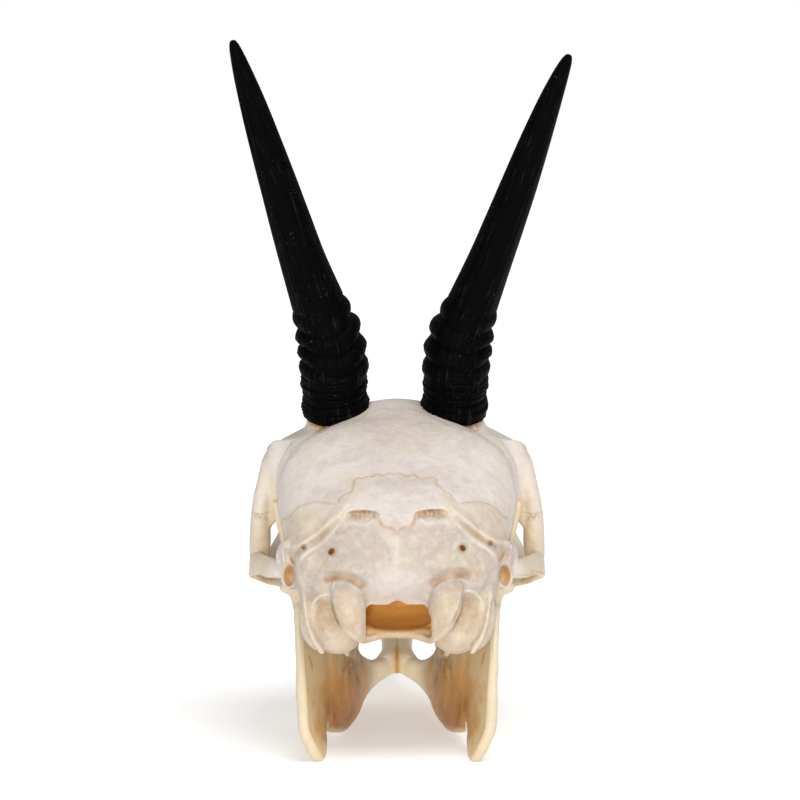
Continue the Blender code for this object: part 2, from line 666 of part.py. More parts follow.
def mandible_forms(side):
    """Body, ramus, coronoid process and condyle of one half of the lower jaw."""
    jaw_body = blade("jaw_body", mirrored([
        (1.6, 168.0, 15.4, 3.0, 169.5, 20.0, 5.0),
        (2.2, 159.0, 11.2, 3.0, 161.0, 18.0, 5.4),
        (2.0, 148.0, 8.8, 2.4, 150.0, 15.4, 4.4),
        (2.0, 137.0, 7.0, 2.4, 138.0, 13.8, 4.6),
        (2.8, 129.0, 6.0, 3.2, 129.0, 12.4, 5.4),
        (4.0, 122.0, 5.4, 4.6, 122.0, 11.2, 7.0),
        (7.4, 115.0, 3.8, 8.6, 115.0, 11.6, 5.8),
        (9.6, 108.0, 2.0, 11.6, 107.0, 14.6, 5.2),
        (11.0, 101.0, 0.6, 13.2, 101.0, 18.2, 5.4),
        (12.0, 92.0, -0.4, 14.2, 92.0, 19.8, 6.2),
        (12.9, 82.0, -0.6, 15.0, 82.0, 21.0, 6.8),
        (14.2, 71.0, -0.6, 15.6, 71.0, 22.4, 6.8),
        (15.6, 60.0, -0.3, 16.2, 60.0, 23.8, 6.4),
        (17.4, 49.0, 1.4, 17.6, 51.0, 25.0, 4.6),
        (19.0, 40.0, 3.2, 19.0, 44.0, 26.0, 3.2),
    ], side, columns=(0, 3)), sides=18)
    ramus = blade("ramus", mirrored(ramus_rows(), side, columns=(0, 3)), sides=22)
    coronoid = blade("coronoid", mirrored([
        (27.6, 36.0, 42.0, 27.4, 50.4, 41.0, 2.6),
        (29.4, 37.6, 49.0, 29.6, 49.0, 48.0, 2.2),
        (31.4, 38.6, 56.0, 31.8, 47.0, 56.0, 2.0),
        (33.0, 38.8, 62.0, 33.4, 44.6, 62.6, 1.9),
        (34.0, 38.0, 66.4, 34.2, 41.4, 67.4, 1.7),
    ], side, columns=(0, 3)))
    neck = rod("neck", mirrored([
        (26.2, 27.0, 38.0, 1.6, 3.2),
        (26.2, 28.0, 44.6, 3.0, 2.6),
    ], side), up=(0, 1, 0))
    x, y, z = JAW_CONDYLE
    condyle = ball("jaw_condyle", (side * x, y, z), JAW_CONDYLE_RADII, tilt=(0, side * JAW_CONDYLE_TILT, 0))
    edge = rod("angle_edge", mirrored([
        (20.8, 15.6, 0.2, 1.5, 1.6),
        (22.6, 12.6, 4.0, 1.6, 1.6),
        (24.6, 12.2, 9.0, 1.6, 1.6),
        (25.2, 15.0, 16.0, 1.5, 1.6),
        (25.6, 19.0, 25.0, 1.4, 1.5),
        (25.9, 22.4, 33.0, 1.4, 1.5),
        (26.1, 25.0, 40.0, 1.5, 1.6),
    ], side), up=(1, 0, 0))
    symphysis = body("symphysis", [
        (119.8, 10.6, 7.0, 4.6, 8.8, 2.4, 3.0),
        (122.4, 12.4, 6.2, 5.6, 9.0, 2.4, 3.4),
        (130.0, 13.4, 5.8, 5.2, 9.4, 2.2, 3.0),
        (140.0, 14.6, 7.2, 4.6, 10.8, 2.2, 2.8),
        (150.0, 16.4, 9.0, 4.8, 12.6, 2.2, 2.6),
        (160.0, 18.4, 11.4, 6.6, 14.8, 2.4, 2.4),
        (167.0, 20.2, 14.8, 7.4, 17.6, 2.2, 2.2),
        (169.6, 20.0, 17.0, 6.0, 18.4, 2.0, 2.0),
    ])
    return [jaw_body, symphysis, ramus, coronoid, neck, condyle, edge]


def incisors(side):
    """Spade-shaped front teeth, from the middle pair to the small canine."""
    teeth = []
    x = 0.25
    for index, width in enumerate(INCISOR_WIDTHS):
        middle = x + width / 2
        back = 0.9 * index
        root = middle * 0.55
        teeth.append(blade("incisor", mirrored([
            (root - 0.9, 162.0 - back, 16.4, root + 0.9, 162.0 - back, 16.4, 2.4),
            (middle - width * 0.36, 168.2 - back, 20.0, middle + width * 0.36, 168.2 - back, 20.0, 2.4),
            (middle - width * 0.49, 171.6 - back, 24.0, middle + width * 0.49, 171.4 - back, 24.0, 1.7),
            (middle - width * 0.49, 173.2 - back, 27.0, middle + width * 0.49, 172.8 - back, 26.6, 0.8),
        ], side, columns=(0, 3)), spans=2, sides=8))
        x += width
    return teeth


def build_mandible(name, side):
    """One half of the lower jaw with its teeth, flat where it meets the floor and its fellow."""
    forms = mandible_forms(side)
    bone = forms[0]
    combine(bone, forms[1:], "UNION")
    soften(bone, BONE_VOXEL, 2)
    keep_largest(bone)
    simplify(bone, MANDIBLE_FACES)
    teeth = incisors(side)
    for tooth, length, width, lobes, x, y in LOWER_TEETH:
        high = bite(y) - BITE_GAP
        teeth.append(cheek_tooth(tooth, (side * x, y), (length, width), lobes,
                                 high - ROOT_DEPTH, high, side))
    combine(bone, teeth, "UNION")
    middle = (-60.0, GAP / 2) if side > 0 else (-GAP / 2, 60.0)
    cutters = [
        block("floor", (-60.0, -20.0, -20.0), (60.0, 220.0, 0.0)),
        block("median_plane", (middle[0], 100.0, -10.0), (middle[1], 220.0, 60.0)),
    ]
    combine(bone, cutters, "DIFFERENCE")
    keep_largest(bone)
    bone.name = name
    return bone


def build_horn(name, side):
    """Horn sheath: a ringed cone that stands on the pedicle."""
    line = smooth_rows(horn_axis(side), 3)
    foot, along = horn_foot(side)
    rings = []
    length = np.concatenate([[0.0], np.cumsum(np.linalg.norm(np.diff(line[:, :3], axis=0), axis=1))])
    for index, row in enumerate(line):
        ahead = line[min(index + 1, len(line) - 1), :3] - line[max(index - 1, 0), :3]
        direction = along if index == 0 else ahead / np.linalg.norm(ahead)
        across = np.cross(direction, (0, 1, 0))
        across = across / np.linalg.norm(across)
        back = np.cross(across, direction)
        radius = row[3]
        if length[index] < HORN_RINGED_LENGTH:
            wave = math.sin(2 * math.pi * HORN_RINGS * length[index] / HORN_RINGED_LENGTH - 0.5)
            radius += HORN_RING_RELIEF * wave * min(1.0, length[index] / 5.0)
        place = row[:3] + direction * (GAP if index == 0 else 0.0)
        ring = []
        for step in range(HORN_SIDES):
            angle = 2 * math.pi * step / HORN_SIDES
            ring.append(place + across * radius * math.cos(angle) + back * radius * 1.04 * math.sin(angle))
        rings.append(ring)
    horn = skin_rings(name, rings)
    horn.data.shade_smooth()
    return horn


def split_cranium(cranium):
    """Part the whole along its open sutures into cranium, cheek bones, nasals and premaxillae."""
    pieces = []
    regions = []
    for word, side in (("left", -1), ("right", 1)):
        regions.append((f"cheek_bone_{word}", cheek_region, side))
        regions.append((f"premaxilla_{word}", premaxilla_region, side))
        regions.append((f"nasal_{word}", nasal_region, side))
    for name, region, side in regions:
        piece = cranium.copy()
        piece.data = cranium.data.copy()
        piece.name = name
        bpy.context.scene.collection.objects.link(piece)
        combine(piece, [region(side, 0.0)], "INTERSECT")
        keep_largest(piece)
        pieces.append(piece)
    for _, region, side in regions:
        combine(cranium, [region(side, GAP)], "DIFFERENCE")
    keep_largest(cranium)
    return pieces


def prism(name, outline, low, high):
    """A straight-sided body over an outline of (y, z) points, between two X values."""
    count = len(outline)
    points = [(low, y, z) for y, z in outline] + [(high, y, z) for y, z in outline]
    faces = [tuple(range(count)), tuple(range(count, 2 * count))]
    for index in range(count):
        other = (index + 1) % count
        faces.append((index, other, count + other, count + index))
    return make_object(name, points, faces)


def spread(outline, gap):
    """The outline with each of its corners moved out from its middle by the gap."""
    ys = [y for y, _ in outline]
    zs = [z for _, z in outline]
    mid_y = (min(ys) + max(ys)) / 2
    mid_z = (min(zs) + max(zs)) / 2
    grow_y = 1 + 2.6 * gap / (max(ys) - min(ys))
    grow_z = 1 + 2.6 * gap / (max(zs) - min(zs))
    return [(mid_y + (y - mid_y) * grow_y, mid_z + (z - mid_z) * grow_z) for y, z in outline]


def cheek_region(side, gap):
    """Space of the zygomatic bone, from the arch to the front of the orbit."""
    outline = spread([(45.0, 50.6), (52.0, 46.4), (56.0, 44.0), (56.0, 36.0), (92.0, 34.0), (96.0, 44.0),
                      (93.0, 52.0), (84.0, 56.0), (70.0, 60.5), (58.0, 61.5), (56.0, 52.5), (46.0, 53.5)], gap)
    low, high = sorted((side * (27.0 - gap), side * 50.0))
    return prism("cheek_region", outline, low, high)


def premaxilla_region(side, gap):
    """Space of the premaxilla, in front of a suture that slopes up and back."""
    outline = spread([(149.0, 20.0), (153.0, 32.0), (139.0, 44.0), (141.0, 47.2 - GAP), (152.0, 43.4 - GAP),
                      (162.0, 39.2 - GAP), (169.0, 38.5 - GAP), (190.0, 46.0), (190.0, 20.0)], gap)
    low, high = sorted((side * (GAP / 2 - gap / 2), side * 30.0))
    return prism("premaxilla_region", outline, low, high)


def nasal_region(side, gap):
    """Space of the nasal bone, along the top of the muzzle."""
    outline = spread([(104.0, 90.0), (104.0, 62.5), (120.0, 56.0), (141.0, 47.5), (152.0, 43.4),
                      (162.0, 39.2), (169.0, 38.5), (172.0, 60.0)], gap)
    low, high = sorted((side * (GAP / 2 - gap / 2), side * (8.2 + gap)))
    return prism("nasal_region", outline, low, high)


def paint(obj, look):
    """Give the object its material."""
    name, colour, roughness = look
    material = bpy.data.materials.get(name)
    if material is None:
        material = bpy.data.materials.new(name)
        material.use_nodes = True
        shader = material.node_tree.nodes["Principled BSDF"]
        shader.inputs["Base Color"].default_value = colour
        shader.inputs["Roughness"].default_value = roughness
        shader.inputs["Metallic"].default_value = 0.0
    obj.data.materials.clear()
    obj.data.materials.append(material)


def main():
    clear_scene()
    cranium = build_cranium()
    cranium.name = "cranium"
    bones = [cranium] + split_cranium(cranium)
    jaws = [build_mandible("mandible_left", -1), build_mandible("mandible_right", 1)]
    horns = [build_horn("horn_left", -1), build_horn("horn_right", 1)]
    skull = bpy.data.objects.new("skull", None)
    bpy.context.scene.collection.objects.link(skull)
    for group, look in ((bones, BONE), (jaws, JAW), (horns, HORN)):
        for obj in group:
            paint(obj, look)
            obj.parent = skull
    low = min(v.co.y for obj in bones + jaws + horns for v in obj.data.vertices)
    high = max(v.co.y for obj in bones + jaws + horns for v in obj.data.vertices)
    left = min(v.co.x for obj in bones + jaws + horns for v in obj.data.vertices)
    right = max(v.co.x for obj in bones + jaws + horns for v in obj.data.vertices)
    skull.location = (-(left + right) / 2, -(low + high) / 2, 0.0)


main()
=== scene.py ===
"""The looks of a duiker ram's skull: fine bones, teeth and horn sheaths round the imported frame.

Landmarks are in millimetres in the skull's own frame: +Y from the occipital condyles to the snout,
+X the skull's right side, Z the height above the floor, with Y zero at the rear of the condyles.
The photo shows the skull from behind and has no scale, so the face, the underside, every depth and
the size itself are estimates from the species' usual build.
"""
import math

import bmesh
import bpy
import numpy as np
from mathutils import Matrix, Vector, noise
from mathutils.bvhtree import BVHTree
from mathutils.kdtree import KDTree


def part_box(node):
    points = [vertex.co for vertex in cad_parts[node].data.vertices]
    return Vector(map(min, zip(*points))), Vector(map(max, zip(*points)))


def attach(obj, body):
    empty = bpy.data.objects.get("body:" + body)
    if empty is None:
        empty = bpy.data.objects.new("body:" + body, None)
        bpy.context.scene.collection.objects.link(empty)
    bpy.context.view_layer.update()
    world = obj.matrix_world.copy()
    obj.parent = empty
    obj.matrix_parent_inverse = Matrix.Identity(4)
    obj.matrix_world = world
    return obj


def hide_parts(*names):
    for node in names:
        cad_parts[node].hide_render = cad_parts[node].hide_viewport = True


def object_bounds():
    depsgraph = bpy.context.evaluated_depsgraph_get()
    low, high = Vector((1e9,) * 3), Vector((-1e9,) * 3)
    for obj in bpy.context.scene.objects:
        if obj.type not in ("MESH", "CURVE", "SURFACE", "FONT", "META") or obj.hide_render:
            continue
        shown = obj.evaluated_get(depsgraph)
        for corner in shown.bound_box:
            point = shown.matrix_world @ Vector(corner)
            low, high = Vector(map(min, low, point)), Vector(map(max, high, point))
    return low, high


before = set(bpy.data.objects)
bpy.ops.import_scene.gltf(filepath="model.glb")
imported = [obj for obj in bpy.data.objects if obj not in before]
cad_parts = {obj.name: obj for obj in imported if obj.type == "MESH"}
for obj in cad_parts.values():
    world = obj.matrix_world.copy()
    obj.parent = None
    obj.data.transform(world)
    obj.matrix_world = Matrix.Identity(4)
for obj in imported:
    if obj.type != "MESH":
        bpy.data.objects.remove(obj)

CAD_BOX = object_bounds()

MM = 0.001

# Gap between a horn sheath and its bony foot in millimetres, and how near points are one, in metres
GAP = 0.3
WELD = 0.00001

SIDES = (("left", -1), ("right", 1))

# The rearmost place in the skull's own frame, in millimetres, and where the median plane and that
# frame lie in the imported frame, in metres
SKULL_REAR = -0.103
MEDIAN_X = (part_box("mandible_left")[1].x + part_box("mandible_right")[0].x) / 2
SHIFT = Vector((MEDIAN_X, CAD_BOX[0][1] - SKULL_REAR * MM, 0.0))

# Driving dimensions of the whole skull, estimated from the species' usual size
CRANIUM_LENGTH = 178.0
BRAINCASE_HALF_WIDTH = 32.4
ORBIT_HALF_WIDTH = 39.6
ROOF_HEIGHT = 92.8
CREST_HEIGHT = 63.5

# Orbit: the middle of its rim and its half sizes along and across the skull
ORBIT_MIDDLE = (34, 79.5, 62.2)
ORBIT_HALF_LENGTH = 16.0
ORBIT_HALF_HEIGHT = 15.8

# Cheek teeth: the biting plane at the rear of the rows and its fall towards the snout
BITE_HEIGHT = 28.6
BITE_REAR = 60.0
BITE_FALL = 0.13
ROOT_DEPTH = 8.5
BITE_GAP = 0.5
CUSP_HEIGHT = 0.5
TOOTH_WAIST = 0.16

# Each tooth: its length, its width, the lobes of its outline, and where its middle lies
UPPER_TEETH = (
    ("third_molar", 10.6, 8.6, 2, 17.4, 62.6),
    ("second_molar", 10.4, 9, 2, 18, 73.1),
    ("first_molar", 9.2, 8.6, 2, 18, 82.9),
    ("fourth_premolar", 6.8, 7.6, 1, 17.2, 90.9),
    ("third_premolar", 6.4, 6.6, 1, 16.2, 97.5),
    ("second_premolar", 5.8, 5.4, 1, 15.2, 103.6),
)
LOWER_TEETH = (
    ("third_molar", 12.6, 6.4, 3, 15.4, 61.6),
    ("second_molar", 9.8, 6.6, 2, 15.5, 72.9),
    ("first_molar", 8.8, 6.2, 2, 15.2, 82.3),
    ("fourth_premolar", 6.8, 5, 1, 14.6, 90.2),
    ("third_premolar", 6.2, 4.4, 1, 13.8, 96.8),
    ("second_premolar", 5, 3.8, 1, 13, 102.5),
)
INCISOR_WIDTHS = (5.4, 3.4, 2.6, 2.2)

# A cheek tooth's girth: from root to crown as shares of the height, and over the crown as distances
# below it, with how much of the cusps' height shows there
TOOTH_NECK = ((0, 0.55), (0.3, 0.82), (0.6, 1))
TOOTH_TOP = ((1.6, 1, 0.2), (0.6, 0.95, 0.7), (0.15, 0.88, 1), (0.1, 0.78, 1),
             (0.9, 0.62, 0.7), (0.5, 0.46, 0.5), (0.7, 0.30, 0.3), (1.5, 0.14, 0))
TOOTH_SIDES = 64
TOOTH_LEAN = 0.25
TOOTH_SEEDS = {"upper": 21, "lower": 22}

# Condyle of the lower jaw, on which the cranium rests
JAW_CONDYLE = (26.4, 28.6, 45)
JAW_CONDYLE_RADII = (5.6, 3, 2.4)
JAW_CONDYLE_TILT = 6.0

# Horn sheaths: the half width at the foot, how far its foot leans outwards and back, the rings above it
# with their sizes, how far they sweep down in front and drop inwards, the pitches of the growth lines,
# swellings of the foot (size, height, reach), flutes along it, the plain tip's length, the depth as a
# share of the width, how many rows its foot keeps straight and how high its gap and its ragged edge
# reach, how finely it is drawn, and the seeds of the two sides
HORN_FOOT_RADIUS = 8.9
FOOT_LEAN = (1.6, 1.4)
RING_PITCH = 5.4
RING_SIZES = (0.25, 0.6, 0.95, 1.05, 0.55)
FIRST_RING = 9.4
RING_SWEEP = 2.6
RING_DROP = 0.9
GROWTH_PITCHES = (2.1, 1.1)
FOOT_SWELLINGS = ((0.5, 2.2, 2.4), (-0.35, 6, 1.8))
FLUTES = 40
FLUTE_TURNS = (5, 46)
FLUTE_SIZE = 0.016
SMOOTH_TIP = 26.0
HORN_DEPTH = 1.04
FOOT_ROWS = 8
FOOT_GAP_RISE = 3.0
RAGGED_RISE = 4.0
HORN_SPANS = 36
HORN_SIDES = 144
HORN_SEEDS = {-1: 11, 1: 12}

# Fineness: how much denser the forms' rings and sides are than a plain model's, a ball's segments
# round and up, how full a blade's edges are, the voxels in millimetres and the smoothing rounds of each
# fusion, and the rounds that run the forms of the face and of the jaw into each other
FINE_SPANS = 2
FINE_SIDES = 2
BALL_SEGMENTS = (20, 12)
BLADE_FULLNESS = 0.7
MASSIVE_FUSION = (1.1, 10)
CRANIUM_FUSION = (0.55, 4)
MANDIBLE_FUSION = (0.5, 5)
FACE_ROUNDS = 36
JAW_ROUNDS = 60
SHARP_ANGLE = 48.0

# The camera taken for the photograph, set near fits whose depths were estimates, in the skull's
# frame, in millimetres, degrees and pixels of an 800 wide frame
CAMERA_AIM = np.array((0.0, 40.0, 94.4))
CAMERA_DISTANCE = 840.0
CAMERA_ELEVATION = 4.0
CAMERA_FOCAL = 3090.0
FRAME_SIZE = 800.0
MIDLINE = 397.0
TILT = math.radians(CAMERA_ELEVATION)
RIGHT = np.array((1.0, 0.0, 0.0))
UP = np.array((0.0, math.sin(TILT), math.cos(TILT)))
FORWARD = np.array((0.0, math.cos(TILT), -math.sin(TILT)))
EYE = CAMERA_AIM - CAMERA_DISTANCE * FORWARD

# Studio: the surround's light on the skull, the floor's tone and glow, and two soft lights, one from
# above and one from the camera's side, each with its power, softness in degrees and direction
AMBIENT = 0.43
FLOOR_TONE = 0.80
FLOOR_GLOW = 0.40
FLOOR_REACH = 60000.0
FLOOR_DEPTH = 4.0
FLOOR_DROP = 0.00005
SENSOR_WIDTH = 36.0
LIGHTS = (("key", 1.5, 35, (0.22, -0.46, 0.92)), ("front", 1.5, 9, (-0.06, -1, 0.09)))


def smooth_rows(rows, spans):
    """Rows along a smooth curve through the given rows."""
    rows = np.array(rows, float)
    before = 2 * rows[0] - rows[1]
    after = 2 * rows[-1] - rows[-2]
    knots = np.vstack([before, rows, after])
    out = []
    for index in range(len(rows) - 1):
        a, b, c, d = knots[index:index + 4]
        for t in np.linspace(0, 1, spans, endpoint=False):
            out.append(0.5 * (2 * b + (c - a) * t + (2 * a - 5 * b + 4 * c - d) * t * t
                              + (3 * b - a - 3 * c + d) * t ** 3))
    out.append(rows[-1])
    return np.array(out)


def around(count):
    """Evenly spaced angles of a full turn."""
    return np.linspace(0, 2 * math.pi, count, endpoint=False)


def unit(vector):
    """The vector at a length of one."""
    return vector / np.linalg.norm(vector)


def bent(value, power):
    """A power of a value that keeps the value's sign."""
    return math.copysign(abs(value) ** power, value)


def on_side(place, side):
    """A place that is given for the right, on the right or the left."""
    return (side * place[0], *place[1:])


def linked(name, mesh):
    """A mesh as an object in the scene."""
    obj = bpy.data.objects.new(name, mesh)
    bpy.context.scene.collection.objects.link(obj)
    return obj


def from_shape(name, shape):
    """An edit mesh as an object in the scene."""
    mesh = bpy.data.meshes.new(name)
    shape.to_mesh(mesh)
    shape.free()
    return linked(name, mesh)


def make_object(name, points, faces):
    """A closed mesh object from points in millimetres, its faces pointing out."""
    mesh = bpy.data.meshes.new(name)
    mesh.from_pydata([Vector(p) * MM for p in points], [], faces)
    shape = bmesh.new()
    shape.from_mesh(mesh)
    bmesh.ops.remove_doubles(shape, verts=shape.verts, dist=WELD)
    bmesh.ops.recalc_face_normals(shape, faces=shape.faces)
    if shape.calc_volume(signed=True) < 0:
        bmesh.ops.reverse_faces(shape, faces=shape.faces)
    shape.to_mesh(mesh)
    shape.free()
    return linked(name, mesh)


def skin_rings(name, rings, closed=False):
    """A surface through rings of equal point counts, with a fan at each end unless it closes."""
    count = len(rings)
    sides = len(rings[0])
    points = [p for ring in rings for p in ring]
    faces = []
    for row in range(count if closed else count - 1):
        nxt = (row + 1) % count
        for side in range(sides):
            other = (side + 1) % sides
            faces.append((row * sides + side, row * sides + other,
                          nxt * sides + other, nxt * sides + side))
    if not closed:
        for row in (0, count - 1):
            points.append(np.mean(rings[row], axis=0))
            for side in range(sides):
                faces.append((len(points) - 1, row * sides + side, row * sides + (side + 1) % sides))
    return make_object(name, points, faces)


def bridged(name, near, far):
    """A solid between two outlines of equal point counts."""
    count = len(near)
    faces = [tuple(range(count)), tuple(range(count, 2 * count))]
    for index in range(count):
        other = (index + 1) % count
        faces.append((index, other, count + other, count + index))
    return make_object(name, [*near, *far], faces)


def body(name, rows, spans=4, sides=32):
    """A loft along Y. Row: y, top, bottom, half width, height of the widest place, two squarenesses."""
    rings = []
    for y, top, bottom, half, wide, square_top, square_low in smooth_rows(rows, FINE_SPANS * spans):
        ring = []
        for angle in around(FINE_SIDES * sides):
            upper = math.sin(angle) >= 0
            power = 2 / (square_top if upper else square_low)
            reach = top - wide if upper else wide - bottom
            ring.append((half * bent(math.cos(angle), power), y,
                         wide + reach * bent(math.sin(angle), power)))
        rings.append(ring)
    return skin_rings(name, rings)


def rod(name, rows, up=(0, 0, 1), spans=4, sides=12, closed=False):
    """A rod through rows of x, y, z, half width and half height, the height along up."""
    line = smooth_rows([*rows, rows[0]] if closed else rows, FINE_SPANS * spans)
    if closed:
        line = line[:-1]
    rings = []
    for index, row in enumerate(line):
        ahead = line[(index + 1) % len(line)] if closed or index < len(line) - 1 else row
        behind = line[index - 1] if closed or index > 0 else row
        along = unit(ahead[:3] - behind[:3])
        side = unit(np.cross(along, np.array(up, float)))
        high = np.cross(side, along)
        rings.append([row[:3] + side * row[3] * math.cos(a) + high * row[4] * math.sin(a)
                      for a in around(FINE_SIDES * sides)])
    return skin_rings(name, rings, closed)


def blade(name, rows, spans=4, sides=14):
    """A thin plate through rows that give both of its edges and its thickness."""
    line = smooth_rows(rows, FINE_SPANS * spans)
    middles = (line[:, 0:3] + line[:, 3:6]) / 2
    rings = []
    for index, row in enumerate(line):
        along = middles[min(index + 1, len(line) - 1)] - middles[max(index - 1, 0)]
        half = (row[3:6] - row[0:3]) / 2
        across = unit(np.cross(along, half)) * row[6] / 2
        rings.append([middles[index] + half * math.cos(a) + across * bent(math.sin(a), BLADE_FULLNESS)
                      for a in around(FINE_SIDES * sides)])
    return skin_rings(name, rings)


def ball(name, middle, radii, tilt=(0.0, 0.0, 0.0)):
    """An ellipsoid with its axes turned by tilt, in degrees about X, Y and Z."""
    shape = bmesh.new()
    segments, levels = (FINE_SIDES * count for count in BALL_SEGMENTS)
    bmesh.ops.create_uvsphere(shape, u_segments=segments, v_segments=levels, radius=1.0)
    turn = Matrix.Identity(4)
    for angle, axis in zip(tilt, "XYZ"):
        turn = Matrix.Rotation(math.radians(angle), 4, axis) @ turn
    size = Matrix.Diagonal((*(radius * MM for radius in radii), 1.0))
    place = Matrix.Translation(Vector(middle) * MM)
    bmesh.ops.transform(shape, matrix=place @ turn @ size, verts=shape.verts)
    return from_shape(name, shape)


def block(name, low, high):
    """A box between two corners."""
    near, far = [[(x, low[1], low[2]), (x, high[1], low[2]), (x, high[1], high[2]), (x, low[1], high[2])]
                 for x in (low[0], high[0])]
    return bridged(name, near, far)


def mirrored(rows, side, columns=(0,)):
    """The rows with their X columns multiplied by side."""
    out = [list(row) for row in rows]
    for row in out:
        for column in columns:
            row[column] *= side
    return out


def settle(obj):
    """Apply the object's modifiers."""
    graph = bpy.context.evaluated_depsgraph_get()
    mesh = bpy.data.meshes.new_from_object(obj.evaluated_get(graph))
    obj.modifiers.clear()
    obj.data = mesh


def combine(obj, others, operation):
    """Union with the others, or cut by them, and remove them."""
    group = bpy.data.collections.new("tools")
    bpy.context.scene.collection.children.link(group)
    for other in others:
        bpy.context.scene.collection.objects.unlink(other)
        group.objects.link(other)
    tool = obj.modifiers.new("combine", "BOOLEAN")
    tool.operand_type = "COLLECTION"
    tool.collection = group
    tool.operation = operation
    tool.solver = "MANIFOLD"
    settle(obj)
    for other in others:
        bpy.data.objects.remove(other, do_unlink=True)
    bpy.data.collections.remove(group)


def keep_largest(obj):
    """Drop all closed surfaces but the one that holds the largest volume."""
    shape = bmesh.new()
    shape.from_mesh(obj.data)
    unseen = set(shape.faces)
    shells = []
    while unseen:
        stack = [unseen.pop()]
        shell = set(stack)
        while stack:
            for edge in stack.pop().edges:
                for face in edge.link_faces:
                    if face in unseen:
                        unseen.remove(face)
                        shell.add(face)
                        stack.append(face)
        shells.append(shell)

    def shell_volume(shell):
        total = 0.0
        for face in shell:
            first = face.verts[0].co
            for a, b in zip(face.verts[1:-1], face.verts[2:]):
                total += first.dot(a.co.cross(b.co)) / 6
        return total

    shells.sort(key=shell_volume, reverse=True)
    for shell in shells[1:]:
        bmesh.ops.delete(shape, geom=list(shell), context="FACES")
    loose = [v for v in shape.verts if not v.link_faces]
    bmesh.ops.delete(shape, geom=loose, context="VERTS")
    shape.to_mesh(obj.data)
    shape.free()


def soften(obj, voxel, rounds):
    """Remesh the fused forms so that they run into each other, and smooth them."""
    remesh = obj.modifiers.new("remesh", "REMESH")
    remesh.mode = "VOXEL"
    remesh.voxel_size = voxel * MM
    smooth = obj.modifiers.new("smooth", "SMOOTH")
    smooth.factor = 0.5
    smooth.iterations = rounds
    settle(obj)


def bite(y):
    """Height of the biting plane."""
    return BITE_HEIGHT - BITE_FALL * (y - BITE_REAR)


def braincase_forms():
    """Braincase, forehead and the narrow body between the orbits."""
    width = BRAINCASE_HALF_WIDTH
    roof = ROOF_HEIGHT
    braincase = body("braincase", [
        (3.2, CREST_HEIGHT - 1.5, 54, 8, 58, 2, 2),
        (5, CREST_HEIGHT + 3, 47.5, 16.5, 57.5, 2, 2),
        (9, 70.2, 38.5, 23, 55.5, 2, 2),
        (14, 73.4, 34.5, 27, 56, 2.1, 1.9),
        (20, 76.3, 33.2, width - 3.2, 58.5, 2.2, 1.7),
        (30, 81.9, 33.4, width - 1, 62.5, 2.6, 1.5),
        (40, 86.6, 34.3, width + 0.2, 65, 3, 1.4),
        (51, roof - 2.7, 35.8, width - 1.2, 67, 2.15, 1.5),
        (62, roof + 0.3, 38.5, 26, 70, 2.3, 1.6),
        (70, roof - 0.3, 41, 19, 72, 2.2, 1.8),
    ])
    forehead = body("forehead", [
        (55, roof - 5, 77, 21, 80, 1.4, 1.6),
        (59, roof - 1.6, 74.5, 30.6, 79.6, 1.35, 1.6),
        (65, roof + 0.6, 74, ORBIT_HALF_WIDTH - 5.2, 78.4, 1.35, 1.8),
        (73, roof - 1.2, 73.5, ORBIT_HALF_WIDTH - 3.8, 78.6, 1.3, 1.6),
        (81, 88, 72, 34.6, 78, 1.3, 1.6),
        (89, 82.5, 69, 31.2, 75, 1.4, 1.6),
        (97, 76.2, 64, 27.2, 69, 1.5, 1.6),
        (105, 69.5, 58, 22.5, 62, 1.6, 1.6),
    ])
    between_orbits = body("between_orbits", [
        (56, 84, 37.5, 18, 58, 2, 1.8),
        (66, 86, 36.5, 13.5, 54, 2, 2),
        (78, 84, 35, 13.5, 48, 2, 2.4),
        (88, 79, 33, 18, 46, 2, 2.6),
        (96, 74, 31.6, 23, 46, 2, 2.6),
    ])
    corners = []
    for side in (-1, 1):
        corners.append(rod("temporal_corner", mirrored([
            (22, 61, 83, 3, 3),
            (26.2, 56.5, 79.8, 3.6, 3.4),
            (28.6, 53, 76.4, 4, 4),
            (29.6, 49, 72.2, 4, 4.2),
            (29.4, 45, 66, 3.8, 4.2),
        ], side)))
    return [braincase, forehead, between_orbits] + corners


def muzzle_form():
    """Face in front of the orbits, out to the premaxillae."""
    tip = CRANIUM_LENGTH
    return body("muzzle", [
        (86, 80, 33.5, 18, 46, 2, 2.6),
        (93, 77.5, 32.2, 23.5, 46, 1.9, 2.6),
        (99, 74, 31.2, 25, 45.5, 1.8, 2.6),
        (106, 68.8, 30.2, 23.4, 44.5, 1.8, 2.6),
        (113, 64.8, 29.4, 20.6, 43, 1.8, 2.6),
        (121, 60.8, 28.8, 17.6, 41, 1.8, 2.5),
        (131, 56.4, 28.2, 14.6, 38.5, 1.8, 2.4),
        (141, 52, 27.6, 12.6, 37, 1.9, 2.4),
        (151, 47.4, 27, 11.4, 35.5, 1.9, 2.3),
        (161, 42.6, 26.8, 10.6, 34, 2, 2.2),
        (tip - 10, 38.4, 27, 9.4, 32.6, 2, 2.2),
        (tip - 4, 34.6, 27.6, 7.6, 31.2, 2, 2),
        (tip, 31.8, 29.2, 4, 30.4, 2, 2),
    ], sides=28)


